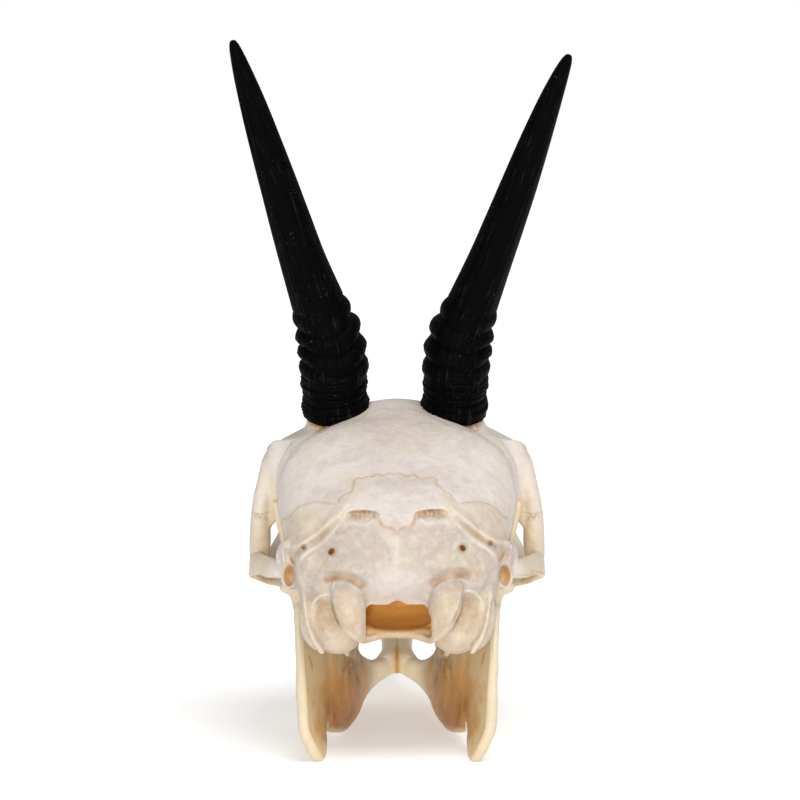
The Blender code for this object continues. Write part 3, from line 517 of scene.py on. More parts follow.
def orbit_forms(side):
    """Rim of the orbit, the wall behind it, and the zygomatic arch."""
    outer = ORBIT_HALF_WIDTH
    rim = rod("rim", mirrored([
        (34.4, 68.5, 77.5, 2.3, 2.3),
        (34.4, 78.5, 77.6, 2.2, 2.5),
        (32.6, 86.5, 76, 2.3, 2.6),
        (30, 93.5, 69.8, 2.4, 2.8),
        (28.8, 97, 61.6, 2.6, 3.2),
        (30.4, 95.6, 53.2, 2.8, 3.4),
        (34.4, 89, 46.6, 2.8, 3),
        (outer - 1.8, 79.5, 44.2, 2.8, 2.4),
        (outer - 0.6, 70, 45.8, 3.4, 2.4),
        (outer - 1.2, 63.6, 52.5, 3.8, 3),
        (outer - 1.6, 61.6, 62, 3.8, 2.7),
        (outer - 3.2, 62.4, 71, 3.2, 2.5),
        (35.4, 64.4, 75.2, 2.8, 2.5),
    ], side), up=(1, 0, 0), closed=True)
    wall = blade("rear_wall", mirrored([
        (20, 56, 84, 35, 63.6, 81, 5),
        (24, 56, 77, 37, 62.6, 74, 4.6),
        (26.5, 56.5, 70, 38, 62, 68, 3.6),
        (30.5, 58.5, 63.5, 38.6, 62, 62, 3),
        (35, 60.6, 57.5, 38.8, 62.6, 57.5, 2.4),
    ], side, columns=(0, 3)))
    arch = rod("arch", mirrored([
        (25.5, 25, 50.6, 3, 3),
        (31.5, 30, 49.4, 2.6, 2.6),
        (35.2, 38, 49, 1.6, 3),
        (38, 48, 48.6, 1.5, 3.2),
        (outer - 0.2, 58, 47.2, 1.6, 3.4),
        (outer, 66, 45.6, 1.8, 3.4),
        (outer - 2, 77, 43.2, 2.1, 3.8),
        (34, 88, 41.6, 3, 4.6),
        (28.5, 96, 40.4, 4.2, 5.4),
        (22, 102, 39, 4, 5),
    ], side))
    corner = rod("arch_corner", mirrored([
        (38.6, 58, 45.4, 1.2, 1.4),
        (40.3, 63, 44.4, 1.2, 1.4),
        (40.6, 68, 43.2, 1.2, 1.3),
        (39.6, 74, 42.2, 1.4, 1.4),
    ], side))
    cheek = ball("cheek", (side * 23.5, 96.0, 47.0), (7.0, 9.0, 11.0), tilt=(0, 0, side * 25))
    return [rim, wall, arch, corner, cheek]


def occiput_forms(side):
    """Condyle, paracondylar process, bulla, mastoid and ear tube."""
    process = rod("paracondylar_process", mirrored([
        (24.4, 17.4, 54, 1.6, 2.4),
        (24.9, 16.6, 48.5, 1.3, 3),
        (24.4, 15.6, 43, 1.05, 3.6),
        (23.7, 14.6, 38, 1, 3.8),
        (22.3, 13.6, 33.6, 1, 3),
        (20.4, 12.8, 30.4, 0.9, 1.6),
        (19.5, 12.4, 29, 0.6, 0.9),
    ], side), up=(0, 1, 0))
    condyle = rod("condyle", mirrored([
        (13.4, 8.4, 49.4, 1.6, 1.4),
        (13.4, 7.2, 48.3, 3.6, 3.2),
        (13.2, 6.6, 46.6, 4.3, 4),
        (12.9, 6.4, 43.8, 4.5, 4.2),
        (12.2, 6.4, 40.6, 4.2, 4.2),
        (11.4, 6.8, 38, 3.5, 4),
        (10.6, 7.4, 36.2, 2.8, 3.6),
        (9.9, 8.2, 34.8, 2, 2.8),
        (9.4, 9, 33.8, 1.2, 1.8),
    ], side), up=(0, 1, 0))
    lip = rod("foramen_lip", mirrored([
        (9.4, 9.6, 34, 2, 2.2),
        (8.2, 9.6, 33.9, 2, 1.7),
        (6.2, 9.8, 34.1, 2, 1.2),
        (3.4, 10.6, 34.6, 2, 0.9),
    ], side))
    bulla = ball("bulla", (side * 15.6, 24.0, 34.2), (6.8, 10.0, 6.9), tilt=(0, 0, side * 12))
    jugular = ball("jugular_plate", (side * 19.6, 18.2, 40.0), (6.6, 6.4, 11.0), tilt=(0, side * -6, 0))
    knob = rod("ear_ridge", mirrored([
        (28.6, 18, 57.6, 1.1, 1.2),
        (30, 19.6, 57, 1.2, 1.3),
        (31, 23.5, 55, 1.2, 1.3),
        (31.4, 28.5, 52.6, 1.4, 1.6),
    ], side))
    ear = rod("ear_tube", mirrored([
        (22.5, 28, 47, 3.2, 3.6),
        (26.5, 23.6, 48.2, 2.9, 3.5),
        (28.9, 18.8, 49, 2.5, 3.7),
    ], side))
    mastoid = ball("mastoid", (side * 21.6, 18.4, 50.5), (5.4, 6.6, 9.6), tilt=(0, side * -8, 0))
    ear_root = ball("ear_root", (side * 28.9, 22.2, 53.6), (2.4, 3.2, 3.8))
    return [process, condyle, lip, bulla, jugular, knob, ear, ear_root, mastoid]


def skull_base():
    """The bone in front of the foramen's lower lip."""
    return body("skull_base", [
        (8.8, 35.2, 34, 6.5, 34.6, 2.4, 2.4),
        (9.6, 36, 33.6, 9.6, 34.8, 2.6, 2.6),
        (14, 38, 33.3, 10.4, 35.4, 2.6, 2.6),
        (22, 40, 33, 10, 36.4, 2.6, 2.6),
        (32, 42, 33.4, 9, 37.6, 2.4, 2.4),
        (44, 42, 35, 7.5, 38.6, 2.2, 2.2),
    ])


def palate_forms(side):
    """Bone that holds the upper cheek teeth, and the pterygoid plate behind the palate."""
    rows = [(17.0, 57.5, 38.0, 3.8, 3.6)]
    for _, _, width, _, x, y in UPPER_TEETH:
        rows.append((x, y, bite(y) + ROOT_DEPTH + 2.2, width / 2 + 0.9, 4.4))
    rows.append((11.6, 114.0, bite(114.0) + ROOT_DEPTH + 2.6, 2.4, 3.4))
    alveoli = rod("alveoli", mirrored(rows, side), spans=3)
    pterygoid = blade("pterygoid", mirrored([
        (7, 41, 35.5, 6.6, 41, 39, 1.8),
        (7.4, 47, 31.5, 6.6, 47, 40, 1.9),
        (7.2, 54, 29.5, 6.8, 54, 40, 2),
        (8, 61, 32, 8, 61, 41, 3),
    ], side, columns=(0, 3)))
    return [alveoli, pterygoid]


def horn_axis(side):
    """Middle line of a horn core and its sheath: x, y, z and the half width, from foot to tip."""
    if side < 0:
        return [
            (-17, 60.6, 89.7, 8.8),
            (-17.4, 57.6, 96.5, 8.9),
            (-17.5, 55.3, 103, 8.9),
            (-18.4, 52.9, 110.2, 8.3),
            (-20.4, 50.9, 116.8, 7.6),
            (-25.4, 46.4, 131.2, 6.3),
            (-28.8, 43.4, 142.1, 5.7),
            (-32.1, 40.7, 153, 5.05),
            (-35.4, 38.2, 163.7, 4.35),
            (-38.7, 35.8, 174.4, 3.5),
            (-41.3, 33.9, 182.6, 2.6),
            (-43.1, 32.6, 188.4, 1.7),
            (-43.8, 32.1, 190.6, 1.05),
            (-44, 31.9, 191.2, 0.5),
        ]
    return [
        (16, 60.6, 89.7, 8.7),
        (16.2, 57.6, 96.5, 8.8),
        (16.4, 55.3, 103, 8.7),
        (17.3, 52.9, 110.2, 8.2),
        (19.4, 50.9, 116.8, 7.3),
        (25, 46.4, 131.2, 6.1),
        (29.1, 43.4, 142.1, 5.5),
        (33.1, 40.7, 153, 4.9),
        (36.9, 38.2, 163.7, 4.15),
        (40.8, 35.8, 174.4, 3.2),
        (43.6, 33.9, 181.6, 2.3),
        (45.2, 33, 185.4, 1.6),
        (45.9, 32.6, 187, 1),
        (46.1, 32.5, 187.5, 0.5),
    ]


def horn_foot(side):
    """Middle of the horn's foot and its direction there."""
    line = np.array(horn_axis(side))
    along = line[2, :3] - line[0, :3] + (side * FOOT_LEAN[0], -FOOT_LEAN[1], 0)
    return line[0, :3], along / np.linalg.norm(along)


def pedicle_form(side):
    """Short bony foot of the horn core, later cut flat under the sheath."""
    middle, along = horn_foot(side)
    rows = []
    for drop, radius in ((13.0, 6.5), (6.0, 9.0), (2.6, 8.8), (-1.5, HORN_FOOT_RADIUS - 0.6)):
        rows.append((*(middle - along * drop), radius, radius + 0.2))
    return rod("pedicle", rows, up=(0, 1, 0), sides=24, spans=2)


def horn_seat(side):
    """Space above the foot of a horn sheath, which no bone reaches into."""
    middle, along = horn_foot(side)
    radius = HORN_FOOT_RADIUS + 0.5
    rows = [(*(middle + along * rise), radius, radius) for rise in (0.0, 8.0)]
    return rod("horn_seat", rows, up=(0, 1, 0), sides=24, spans=1)


def jaw_socket(side):
    """Space that the condyle of the lower jaw takes under the root of the arch."""
    x, y, z = JAW_CONDYLE
    radii = [radius + 2.2 * GAP for radius in JAW_CONDYLE_RADII]
    return ball("jaw_socket", (side * x, y, z), radii, tilt=(0, side * JAW_CONDYLE_TILT, 0))


def sight_ray(u, v):
    """The way that the camera looks through a pixel."""
    return FORWARD * CAMERA_FOCAL + RIGHT * (u - MIDLINE) + UP * (FRAME_SIZE / 2 - v)


def sight_prism(name, outline, near, far):
    """A body over an outline in the photograph's pixels, along its lines of sight from Y near to far."""
    rays = [sight_ray(u, v) for u, v in smooth_rows([*outline, outline[0]], 4)[:-1]]
    ends = [[EYE + ray * (reach - EYE[1]) / ray[1] for ray in rays] for reach in (near, far)]
    return bridged(name, *ends)


def cranium_cutters():
    """What is hollow: braincase, nose, inner nostrils, orbits, ear openings and the pits behind."""
    cutters = [
        body("brain_space", [
            (7.4, 43.4, 35.5, 8.4, 39, 3, 3.4),
            (10, 45.6, 35.6, 9.4, 39.6, 2.8, 2.8),
            (16, 48, 36, 10.6, 40.6, 2.4, 2.4),
            (22, 47, 37.6, 8.6, 41.6, 2, 2),
            (25, 44, 40, 4, 41.8, 2, 2),
        ]),
        sight_prism("foramen", FORAMEN, 0.0, 9.4),
        body("nose_space", [
            (103, 56, 44, 7, 50, 2, 2),
            (112, 59.5, 37.5, 13, 45, 2, 2.2),
            (124, 56.4, 32.5, 12.6, 41, 1.9, 2.4),
            (138, 50.2, 31, 10.4, 38, 1.9, 2.4),
            (152, 44, 30.2, 8.8, 36, 1.9, 2.4),
            (161, 41, 29.8, 8, 35, 2, 2.4),
            (166, 52, 30, 7.4, 36, 2, 2.4),
            (173, 54, 31, 5.4, 36, 2, 2.2),
            (186, 56, 32.4, 4, 38, 2, 2),
        ]),
        body("inner_nostrils", [
            (36, 31, 20, 5.4, 26, 2, 2),
            (46, 38, 24, 5.2, 32, 2, 2),
            (58, 42, 26, 5.2, 35, 2, 2),
            (68, 44, 34, 5, 39, 2, 2),
            (84, 47, 38, 4, 43, 2, 2),
        ]),
    ]
    for side in (-1, 1):
        x, y, z = ORBIT_MIDDLE
        cutters.append(ball("orbit", (side * x, y, z), (23.0, ORBIT_HALF_LENGTH, ORBIT_HALF_HEIGHT),
                            tilt=(0, side * -4, side * 14)))
        cutters.append(ball("gland_pit", (side * 31.4, 112.0, 52.6), (8.0, 9.6, 6.4),
                            tilt=(0, 0, side * 20)))
        cutters.append(rod("ear_hole", mirrored([
            (27.7, 21.6, 48.8, 1.2, 2.2),
            (28.5, 19.6, 49, 1.6, 2.8),
            (31, 14.2, 49.8, 1.7, 2.9),
        ], side)))
        cutters.append(rod("palate_slot", mirrored([
            (2.9, 147, 29, 1.2, 5),
            (3.2, 157, 29, 1.6, 5),
            (2.9, 167, 30, 1.1, 5),
        ], side)))
    return cutters


def ramus_rows():
    """Ramus of the mandible as level slices: rear edge, front edge and thickness."""
    return [
        (20.6, 16, -0.6, 20, 26, -0.6, 2.4),
        (21.4, 12.8, 3, 19.6, 33, 3, 2.8),
        (24.2, 12, 8, 18.8, 43, 8, 3),
        (25, 14.2, 15, 18, 50, 15, 2.9),
        (25.4, 17.4, 22, 17.8, 53, 22, 2.8),
        (25.8, 20.4, 29, 18.8, 53.6, 29, 2.6),
        (26, 22.8, 36, 22.2, 51.6, 36, 2.6),
        (26.2, 24.6, 41, 26, 50, 41, 2.6),
        (26.4, 26, 44.4, 28.4, 49, 44.6, 2.6),
    ]


def mandible_forms(side):
    """Body, ramus, coronoid process and condyle of one half of the lower jaw."""
    jaw_body = blade("jaw_body", mirrored([
        (1.6, 168, 15.4, 3, 169.5, 20, 5),
        (2.2, 159, 11.2, 3, 161, 18, 5.4),
        (2, 148, 8.8, 2.4, 150, 15.4, 4.4),
        (2, 137, 7, 2.4, 138, 13.8, 4.6),
        (2.8, 129, 6, 3.2, 129, 12.4, 5.4),
        (4, 122, 5.4, 4.6, 122, 11.2, 7),
        (7.4, 115, 3.8, 8.6, 115, 11.6, 5.8),
        (9.6, 108, 2, 11.6, 107, 14.6, 5.2),
        (11, 101, 0.6, 13.2, 101, 18.2, 5.4),
        (12, 92, -0.4, 14.2, 92, 19.8, 6.2),
        (12.9, 82, -0.6, 15, 82, 21, 6.8),
        (14.2, 71, -0.6, 15.6, 71, 22.4, 6.8),
        (15.6, 60, -0.3, 16.2, 60, 23.8, 6.4),
        (17.4, 49, 1.4, 17.6, 51, 25, 4.6),
        (19, 40, 3.2, 19, 44, 26, 3.2),
    ], side, columns=(0, 3)), sides=18)
    ramus = blade("ramus", mirrored(ramus_rows(), side, columns=(0, 3)), sides=22)
    coronoid = blade("coronoid", mirrored([
        (27.6, 36, 42, 27.4, 50.4, 41, 2.6),
        (29.4, 37.6, 49, 29.6, 49, 48, 2.2),
        (30.8, 38.6, 56, 31.2, 47, 56, 2),
        (32.1, 38.8, 62, 32.5, 44.6, 62.6, 1.9),
        (33, 38, 66.4, 33.2, 41.4, 67.4, 1.7),
    ], side, columns=(0, 3)))
    neck = rod("neck", mirrored([
        (26.2, 27, 38, 1.6, 3.2),
        (26.2, 28, 44.6, 3, 2.6),
    ], side), up=(0, 1, 0))
    x, y, z = JAW_CONDYLE
    condyle = ball("jaw_condyle", (side * x, y, z), JAW_CONDYLE_RADII, tilt=(0, side * JAW_CONDYLE_TILT, 0))
    edge = rod("angle_edge", mirrored([
        (20.8, 15.6, 0.2, 1.5, 1.6),
        (22.6, 12.6, 4, 1.6, 1.6),
        (24.6, 12.2, 9, 1.6, 1.6),
        (25.2, 15, 16, 1.5, 1.6),
        (25.6, 19, 25, 1.4, 1.5),
        (25.9, 22.4, 33, 1.4, 1.5),
        (26.1, 25, 40, 1.5, 1.6),
    ], side), up=(1, 0, 0))
    symphysis = body("symphysis", [
        (119.8, 10.6, 7, 4.6, 8.8, 2.4, 3),
        (122.4, 12.4, 6.2, 5.6, 9, 2.4, 3.4),
        (130, 13.4, 5.8, 5.2, 9.4, 2.2, 3),
        (140, 14.6, 7.2, 4.6, 10.8, 2.2, 2.8),
        (150, 16.4, 9, 4.8, 12.6, 2.2, 2.6),
        (160, 18.4, 11.4, 6.6, 14.8, 2.4, 2.4),
        (167, 20.2, 14.8, 7.4, 17.6, 2.2, 2.2),
        (169.6, 20, 17, 6, 18.4, 2, 2),
    ])
    rows = [(17.2, 57.0, bite(57.0) - 8.2, 1.8, 1.6)]
    for _, _, width, _, tooth_x, tooth_y in LOWER_TEETH:
        rows.append((tooth_x + 0.3, tooth_y, bite(tooth_y) - BITE_GAP - 6.4, width / 2 + 0.4, 2.8))
    alveoli = rod("lower_alveoli", mirrored(rows, side), spans=3)
    return [jaw_body, symphysis, ramus, coronoid, neck, condyle, edge, alveoli]


def incisors(side):
    """Spade-shaped front teeth, from the middle pair to the small canine."""
    teeth = []
    x = 0.25
    for index, width in enumerate(INCISOR_WIDTHS):
        middle = x + width / 2
        back = 0.9 * index
        root = middle * 0.55
        teeth.append(blade("incisor", mirrored([
            (root - 0.9, 162 - back, 16.4, root + 0.9, 162 - back, 16.4, 2.4),
            (middle - width * 0.36, 168.2 - back, 20, middle + width * 0.36, 168.2 - back, 20, 2.4),
            (middle - width * 0.49, 171.6 - back, 24, middle + width * 0.49, 171.4 - back, 24, 1.7),
            (middle - width * 0.49, 173.2 - back, 27, middle + width * 0.49, 172.8 - back, 26.6, 0.8),
        ], side, columns=(0, 3)), spans=2, sides=8))
        x += width
    return teeth


def prism(name, outline, low, high):
    """A straight-sided body over an outline of (y, z) points, between two X values."""
    return bridged(name, *([(x, y, z) for y, z in outline] for x in (low, high)))


def wavy(outline, seed, size=0.35, pace=0.9, closed=True):
    """The outline in short steps that wander a little, as sutures do."""
    draw = np.random.default_rng(seed)
    out = []
    ends = outline[1:] + outline[:1] if closed else outline[1:]
    for (a1, b1), (a2, b2) in zip(outline, ends):
        count = max(1, int(math.dist((a1, b1), (a2, b2)) / pace))
        for index in range(count):
            share = index / count
            wander = draw.normal(0, size, 2) if index else (0.0, 0.0)
            out.append((a1 + (a2 - a1) * share + wander[0], b1 + (b2 - b1) * share + wander[1]))
    return out


def cheek_region(side):
    """Space of the zygomatic bone, from the arch to the front of the orbit."""
    low, high = sorted(side * x for x in CHEEK_REACH)
    return prism("cheek_region", wavy(CHEEK_OUTLINE, 31), low, high)


def premaxilla_region(side):
    """Space of the premaxilla, in front of a suture that slopes up and back."""
    low, high = sorted(side * x for x in PREMAXILLA_REACH)
    return prism("premaxilla_region", wavy(PREMAXILLA_OUTLINE, 32, 0.2), low, high)


def nasal_region(side):
    """Space of the nasal bone, along the top of the muzzle, widest near its rear end."""
    outline = [NASAL_OUTLINE[0]] + wavy(NASAL_OUTLINE[1:], 33, 0.2, closed=False) + [NASAL_OUTLINE[-1]]
    bottom = np.array(NASAL_BOTTOM)
    lows = [(side * x, y, np.interp(y, bottom[:, 0], bottom[:, 1])) for x, y in outline]
    tops = [(side * x, y, NASAL_TOP) for x, y in outline]
    return bridged("nasal_region", lows, tops)


def read_values(items, name, width, kind=float):
    """One property of a mesh's points or edges, as a row for each."""
    flat = np.empty(len(items) * width, kind)
    items.foreach_get(name, flat)
    return flat.reshape(-1, width)


def mesh_points(obj):
    """The object's points in millimetres."""
    return read_values(obj.data.vertices, "co", 3) / MM


def mesh_normals(obj):
    """The object's point normals."""
    return read_values(obj.data.vertices, "normal", 3)


def mesh_edges(obj):
    """Pairs of joined points."""
    return read_values(obj.data.edges, "vertices", 2, int)


def note_vectors(mesh, name, values):
    """Keep a vector for each point in the mesh under a name."""
    kept = mesh.attributes.get(name) or mesh.attributes.new(name, "FLOAT_VECTOR", "POINT")
    kept.data.foreach_set("vector", values.ravel())


def note_tones(mesh, tones):
    """Keep a tone for each point in the mesh."""
    kept = mesh.attributes.get("tone") or mesh.attributes.new("tone", "FLOAT_COLOR", "POINT")
    kept.data.foreach_set("color", np.column_stack([tones, np.ones(len(tones))]).ravel())


def point_tree(points):
    """A tree that finds the nearest of the points."""
    tree = KDTree(len(points))
    for index, place in enumerate(points):
        tree.insert(place, index)
    tree.balance()
    return tree


def clouds(points, scale=1.0, seed=0, octaves=4):
    """Cloudy values round zero, one a point, their size given by a scale in shares of a millimetre."""
    shift = Vector((seed * 7.3, seed * 3.1, seed * 5.7))
    return np.array([noise.fractal(Vector(place) * scale + shift, 1.0, 2.0, octaves) for place in points])


def seen_clouds(spots, across, down, depth, octaves=4):
    """Cloudy values drawn in the photograph's frame, their size in shares of a pixel."""
    return clouds(np.column_stack([spots * (across, down), np.full(len(spots), depth)]), octaves=octaves)


def averaged(values, edges, rounds):
    """Values drawn towards the mean of their neighbours."""
    count = np.bincount(edges.ravel(), minlength=len(values)).astype(float)[:, None]
    count[count == 0] = 1
    flat = values.reshape(len(values), -1)
    for _ in range(rounds):
        total = np.zeros_like(flat)
        for column in range(flat.shape[1]):
            total[:, column] = (np.bincount(edges[:, 0], flat[edges[:, 1], column], len(flat))
                                + np.bincount(edges[:, 1], flat[edges[:, 0], column], len(flat)))
        flat = 0.4 * flat + 0.6 * total / count
    return flat.reshape(values.shape)


def step(low, high, values):
    """Smooth step from 0 at low to 1 at high."""
    t = np.clip((values - low) / (high - low), 0, 1)
    return t * t * (3 - 2 * t)


def within(values, *stops):
    """Share that rises or falls between two stops, or rises and then falls between four."""
    share = step(stops[0], stops[1], values)
    return share * step(stops[3], stops[2], values) if len(stops) == 4 else share


def zone(points, spans):
    """Share of each point inside a zone's spans, those in x taken away from the middle."""
    share = np.ones(len(points))
    for axis, stops in spans.items():
        values = points[:, "xyz".index(axis)]
        share *= within(np.abs(values) if axis == "x" else values, *stops)
    return share


def bell(values, middle, width):
    """A soft bump of height 1 about a middle."""
    return np.exp(-((values - middle) / width) ** 2)


def boxed(spots, line, reach):
    """Indices of the spots within reach of a line's bounding box."""
    return np.flatnonzero(np.all((spots > line.min(0) - reach) & (spots < line.max(0) + reach), axis=1))


def beside(spots, normals, line):
    """For each spot: its distance to a line, the side of it and the share of the line's length."""
    best = np.full(len(spots), np.inf)
    side = np.ones(len(spots))
    share = np.zeros(len(spots))
    lengths = np.linalg.norm(np.diff(line, axis=0), axis=1)
    starts = np.concatenate([[0], np.cumsum(lengths)])
    for index, (a, b) in enumerate(zip(line[:-1], line[1:])):
        ab = b - a
        t = np.clip((spots - a) @ ab / max(ab @ ab, SMALLEST), 0, 1)
        gap = spots - a - t[:, None] * ab
        away = np.linalg.norm(gap, axis=1)
        closer = away < best
        best[closer] = away[closer]
        turn = np.sum(np.cross(ab, normals) * gap, axis=1)
        side[closer] = np.where(turn[closer] < 0, -1, 1)
        share[closer] = (starts[index] + t[closer] * lengths[index]) / starts[-1]
    return best, side, share


class Surface:
    """A bone's points and normals, with what brushes need to push and paint them."""

    def __init__(self, obj):
        self.obj = obj
        self.read()

    def read(self):
        """Take the points, normals and edges from the object."""
        self.points = mesh_points(self.obj)
        self.normals = mesh_normals(self.obj)
        self.edges = mesh_edges(self.obj)
        shape = bmesh.new()
        shape.from_mesh(self.obj.data)
        self.tree = BVHTree.FromBMesh(shape)
        shape.free()

    def settle(self):
        """Write the points back and read the new shape."""
        self.obj.data.vertices.foreach_set("co", (self.points * MM).ravel())
        self.obj.data.update()
        self.read()

    def seen(self, pixels):
        """Places on the bone under pixels of the photograph's frame."""
        rays = [Vector(sight_ray(u, v)).normalized() for u, v in pixels]
        hits = [self.tree.ray_cast(Vector(EYE) * MM, ray)[0] for ray in rays]
        return np.array([np.array(hit) / MM for hit in hits if hit is not None])

    def nearest(self, place):
        """The place on the bone nearest to another, and the bone's normal there."""
        spot, normal, _, _ = self.tree.find_nearest(Vector(place) * MM)
        return np.array(spot) / MM, normal

    def laid(self, line, spacing, jag, seed):
        """A line through places, resampled finely, jagged sideways and laid on the bone."""
        fine = smooth_rows(line, 24)
        run = np.concatenate([[0], np.cumsum(np.linalg.norm(np.diff(fine, axis=0), axis=1))])
        count = max(3, int(run[-1] / spacing))
        stops = np.linspace(0, run[-1], count)
        fine = np.stack([np.interp(stops, run, fine[:, k]) for k in range(3)], axis=1)
        draw = np.random.default_rng(seed)
        wander = np.convolve(draw.normal(0, 1, count + len(WANDER) - 1), WANDER, "valid")
        out = []
        for index, place in enumerate(fine):
            spot, normal = self.nearest(place)
            side = np.cross(fine[min(index + 1, count - 1)] - fine[max(index - 1, 0)], normal)
            side = side / max(np.linalg.norm(side), SMALLEST)
            out.append(self.nearest(spot + side * jag * wander[index])[0])
        return np.array(out)

    def along(self, line, reach):
        """The points near a line: their indices, distance, side of the line and share of its length."""
        near = boxed(self.points, line, reach)
        distance, side, share = beside(self.points[near], self.normals[near], line)
        keep = distance < reach
        return near[keep], distance[keep], side[keep], share[keep]

    def near_ball(self, middle, radii):
        """How far inside an upright ellipsoid each point is, from 0 at its rim to 1 at its middle."""
        return np.clip(1 - np.linalg.norm((self.points - middle) / radii, axis=1), 0, 1)

    def swell(self, middle, radii, height):
        """Raise or press in the bone round a place, along its normals."""
        inside = self.near_ball(middle, radii)
        self.points += (height * inside ** 2 * (3 - 2 * inside))[:, None] * self.normals

    def ease(self, rounds, share):
        """Smooth the bone by a share at each point."""
        smoothed = averaged(self.points, self.edges, rounds)
        self.points += (smoothed - self.points) * share[:, None]

    def pixels(self):
        """Where each point shows in the photograph's frame."""
        off = self.points - EYE
        depth = off @ FORWARD
        return np.stack([MIDLINE + CAMERA_FOCAL * (off @ RIGHT) / depth,
                         FRAME_SIZE / 2 - CAMERA_FOCAL * (off @ UP) / depth], axis=1)

    def facing(self):
        """How squarely each point faces the photograph's camera, and zero where something hides it."""
        square = np.clip(-self.normals @ FORWARD, 0, 1)
        start = Vector(EYE) * MM
        for index in np.flatnonzero(square > 0):
            way = Vector(self.points[index]) * MM - start
            hit = self.tree.ray_cast(start, way.normalized())[3]
            if hit is not None and hit < way.length - HIDDEN_BY * MM:
                square[index] = 0
        return square

    def from_horn(self, side):
        """How high above a horn's foot each point lies, and how far from the horn's axis."""
        middle, along = horn_foot(side)
        off = self.points - middle
        rise = off @ along
        return rise, np.linalg.norm(off - rise[:, None] * along, axis=1)

    def refine(self, chosen):
        """Halve the mesh size where all of a face's points are chosen."""
        shape = bmesh.new()
        shape.from_mesh(self.obj.data)
        faces = [face for face in shape.faces if all(chosen[vert.index] for vert in face.verts)]
        edges = list({edge for face in faces for edge in face.edges})
        bmesh.ops.subdivide_edges(shape, edges=edges, cuts=1, use_grid_fill=True)
        shape.to_mesh(self.obj.data)
        shape.free()
        self.read()


# Small holes on the right side of the jaw and the face: place, radius and depth in millimetres
JAW_HOLES = (((6.2, 126, 9.6), 1.3, 1.1), ((7.6, 119, 8.4), 0.8, 0.7))
FACE_HOLES = (
    ((20.4, 110, 40.5), 2.2, 2.2),
    ((13.6, 79, 90), 1.8, 1.8),
    ((15, 88, 85), 1.1, 1),
    ((29, 98.5, 57.5), 1.2, 1.2),
)

# Sutures of the face and side, on its right side, in millimetres, with their jag and their strength
FACE_SUTURES = (
    (((27.6, 97, 66), (22, 103, 65), (15, 107, 64.5), (9, 106, 65.5)), 0.5, 0.8),
    (((24, 102, 64.5), (22.5, 112, 58), (23, 114, 50), (26, 106, 46),
      (27.5, 99, 48)), 0.35, 0.8),
    (((31.6, 26, 62.5), (32.6, 36, 64), (31.6, 48, 66), (27.5, 57, 71)), 0.3, 0.7),
    (((27.5, 57, 71), (20, 60, 60), (15, 64, 50), (14, 70, 42)), 0.3, 0.6),
    (((8.6, 108, 64), (10, 120, 58), (11.5, 134, 49), (11, 142, 44.5)), 0.3, 0.5),
)
INTERFRONTAL = ((0, 62, 94), (0, 72, 93), (0, 84, 87), (0, 95, 78), (0, 101, 72))

# Where the cranium parts into bones: outlines of (y, z) with their reach in x, and the nasal's of
# (x, y) with the height of its underside along y
CHEEK_REACH = (27, 50)
CHEEK_OUTLINE = [(45, 50.6), (52, 46.4), (56, 44), (56, 36), (92, 34), (96, 44),
                 (93, 52), (84, 56), (70, 60.5), (58, 61.5), (56, 52.5), (46, 53.5)]
PREMAXILLA_REACH = (GAP / 2, 30)
PREMAXILLA_OUTLINE = [(149, 20), (153, 32), (139, 44), (141, 47.2 - GAP), (152, 43.4 - GAP),
                      (162, 39.2 - GAP), (169, 38.5 - GAP), (190, 46), (190, 20)]
NASAL_OUTLINE = [(GAP / 2, 172), (GAP / 2, 101.5), (3.2, 100.5), (6.6, 103), (8.4, 107), (8.4, 118),
                 (7.6, 130), (7, 142), (6.6, 152), (6, 162), (5.4, 172)]
NASAL_BOTTOM = [(100, 62.5), (104, 62), (120, 56), (141, 47.5), (152, 43.4), (162, 39.2),
                (172, 38.5)]
NASAL_TOP = 90.0

# Zones of the bones in millimetres. Each gives, for x away from the middle, y and z, two stops over
# which a share rises or falls, or four over which it rises and falls again.
# The occiput's plate: its Y in the middle, its bow by x squared, and its sweep forwards below a height
PLATE_REAR = 4.4
PLATE_BOW = 0.0155
PLATE_SWEEP = (56, 0.006, 1.5)
OCCIPUT_PLATE = {"x": (26.5, 21), "y": (20, 14), "z": (46, 51, 61, 66)}
MUZZLE = {"y": (84, 96), "z": (30, 36)}
CHEEK_ROOT = {"x": (27, 30), "y": (104, 96)}
FOREHEAD = {"y": (60, 66, 74, 84), "z": (80, 83)}
DEEP_ORBIT = {"x": (9, 12, 23, 26), "y": (70, 74, 98, 102), "z": (44, 48, 74, 78)}
WING_CORNER = {"x": (20, 24, 31, 34.5), "y": (40, 45, 66, 72), "z": (60, 66)}
BEHIND = {"y": (28, 17), "z": (68, 62)}
FAR_BEHIND = {"y": (26, 18)}
UNDERSIDE = {"z": (46, 38)}
BRAINCASE = {"y": (60, 40)}
SQUAMA_REAR = {"y": (30, 22)}
CHEEK_BAR = {"x": (33, 36), "z": (62, 50)}
RIM_OUTSIDE = {"x": (33, 36), "y": (54, 58, 70, 76), "z": (84, 80)}
RIM_INSIDE = {"x": (30, 33), "y": (50, 56, 72, 76), "z": (46, 50, 62, 70)}
ARCH = {"x": (28, 32), "y": (26, 32, 78, 84), "z": (66, 60)}
FORAMEN_DEPTH = {"x": (12, 11), "y": (7.6, 9, 26, 27), "z": (34.9, 35.5, 48, 49)}
FORAMEN_LIP = {"x": (11, 9), "y": (6, 7.5, 12, 14), "z": (31, 33, 36, 37)}
JAW_INSIDE = {"y": (15, 22, 96, 108), "z": (2.5, 5, 34, 42)}
JAW_TOOTH_ROW = {"y": (46, 54), "z": (16, 20)}
JAW_REAR = {"y": (30, 20)}
SYMPHYSIS = {"y": (106, 112, 128, 136)}

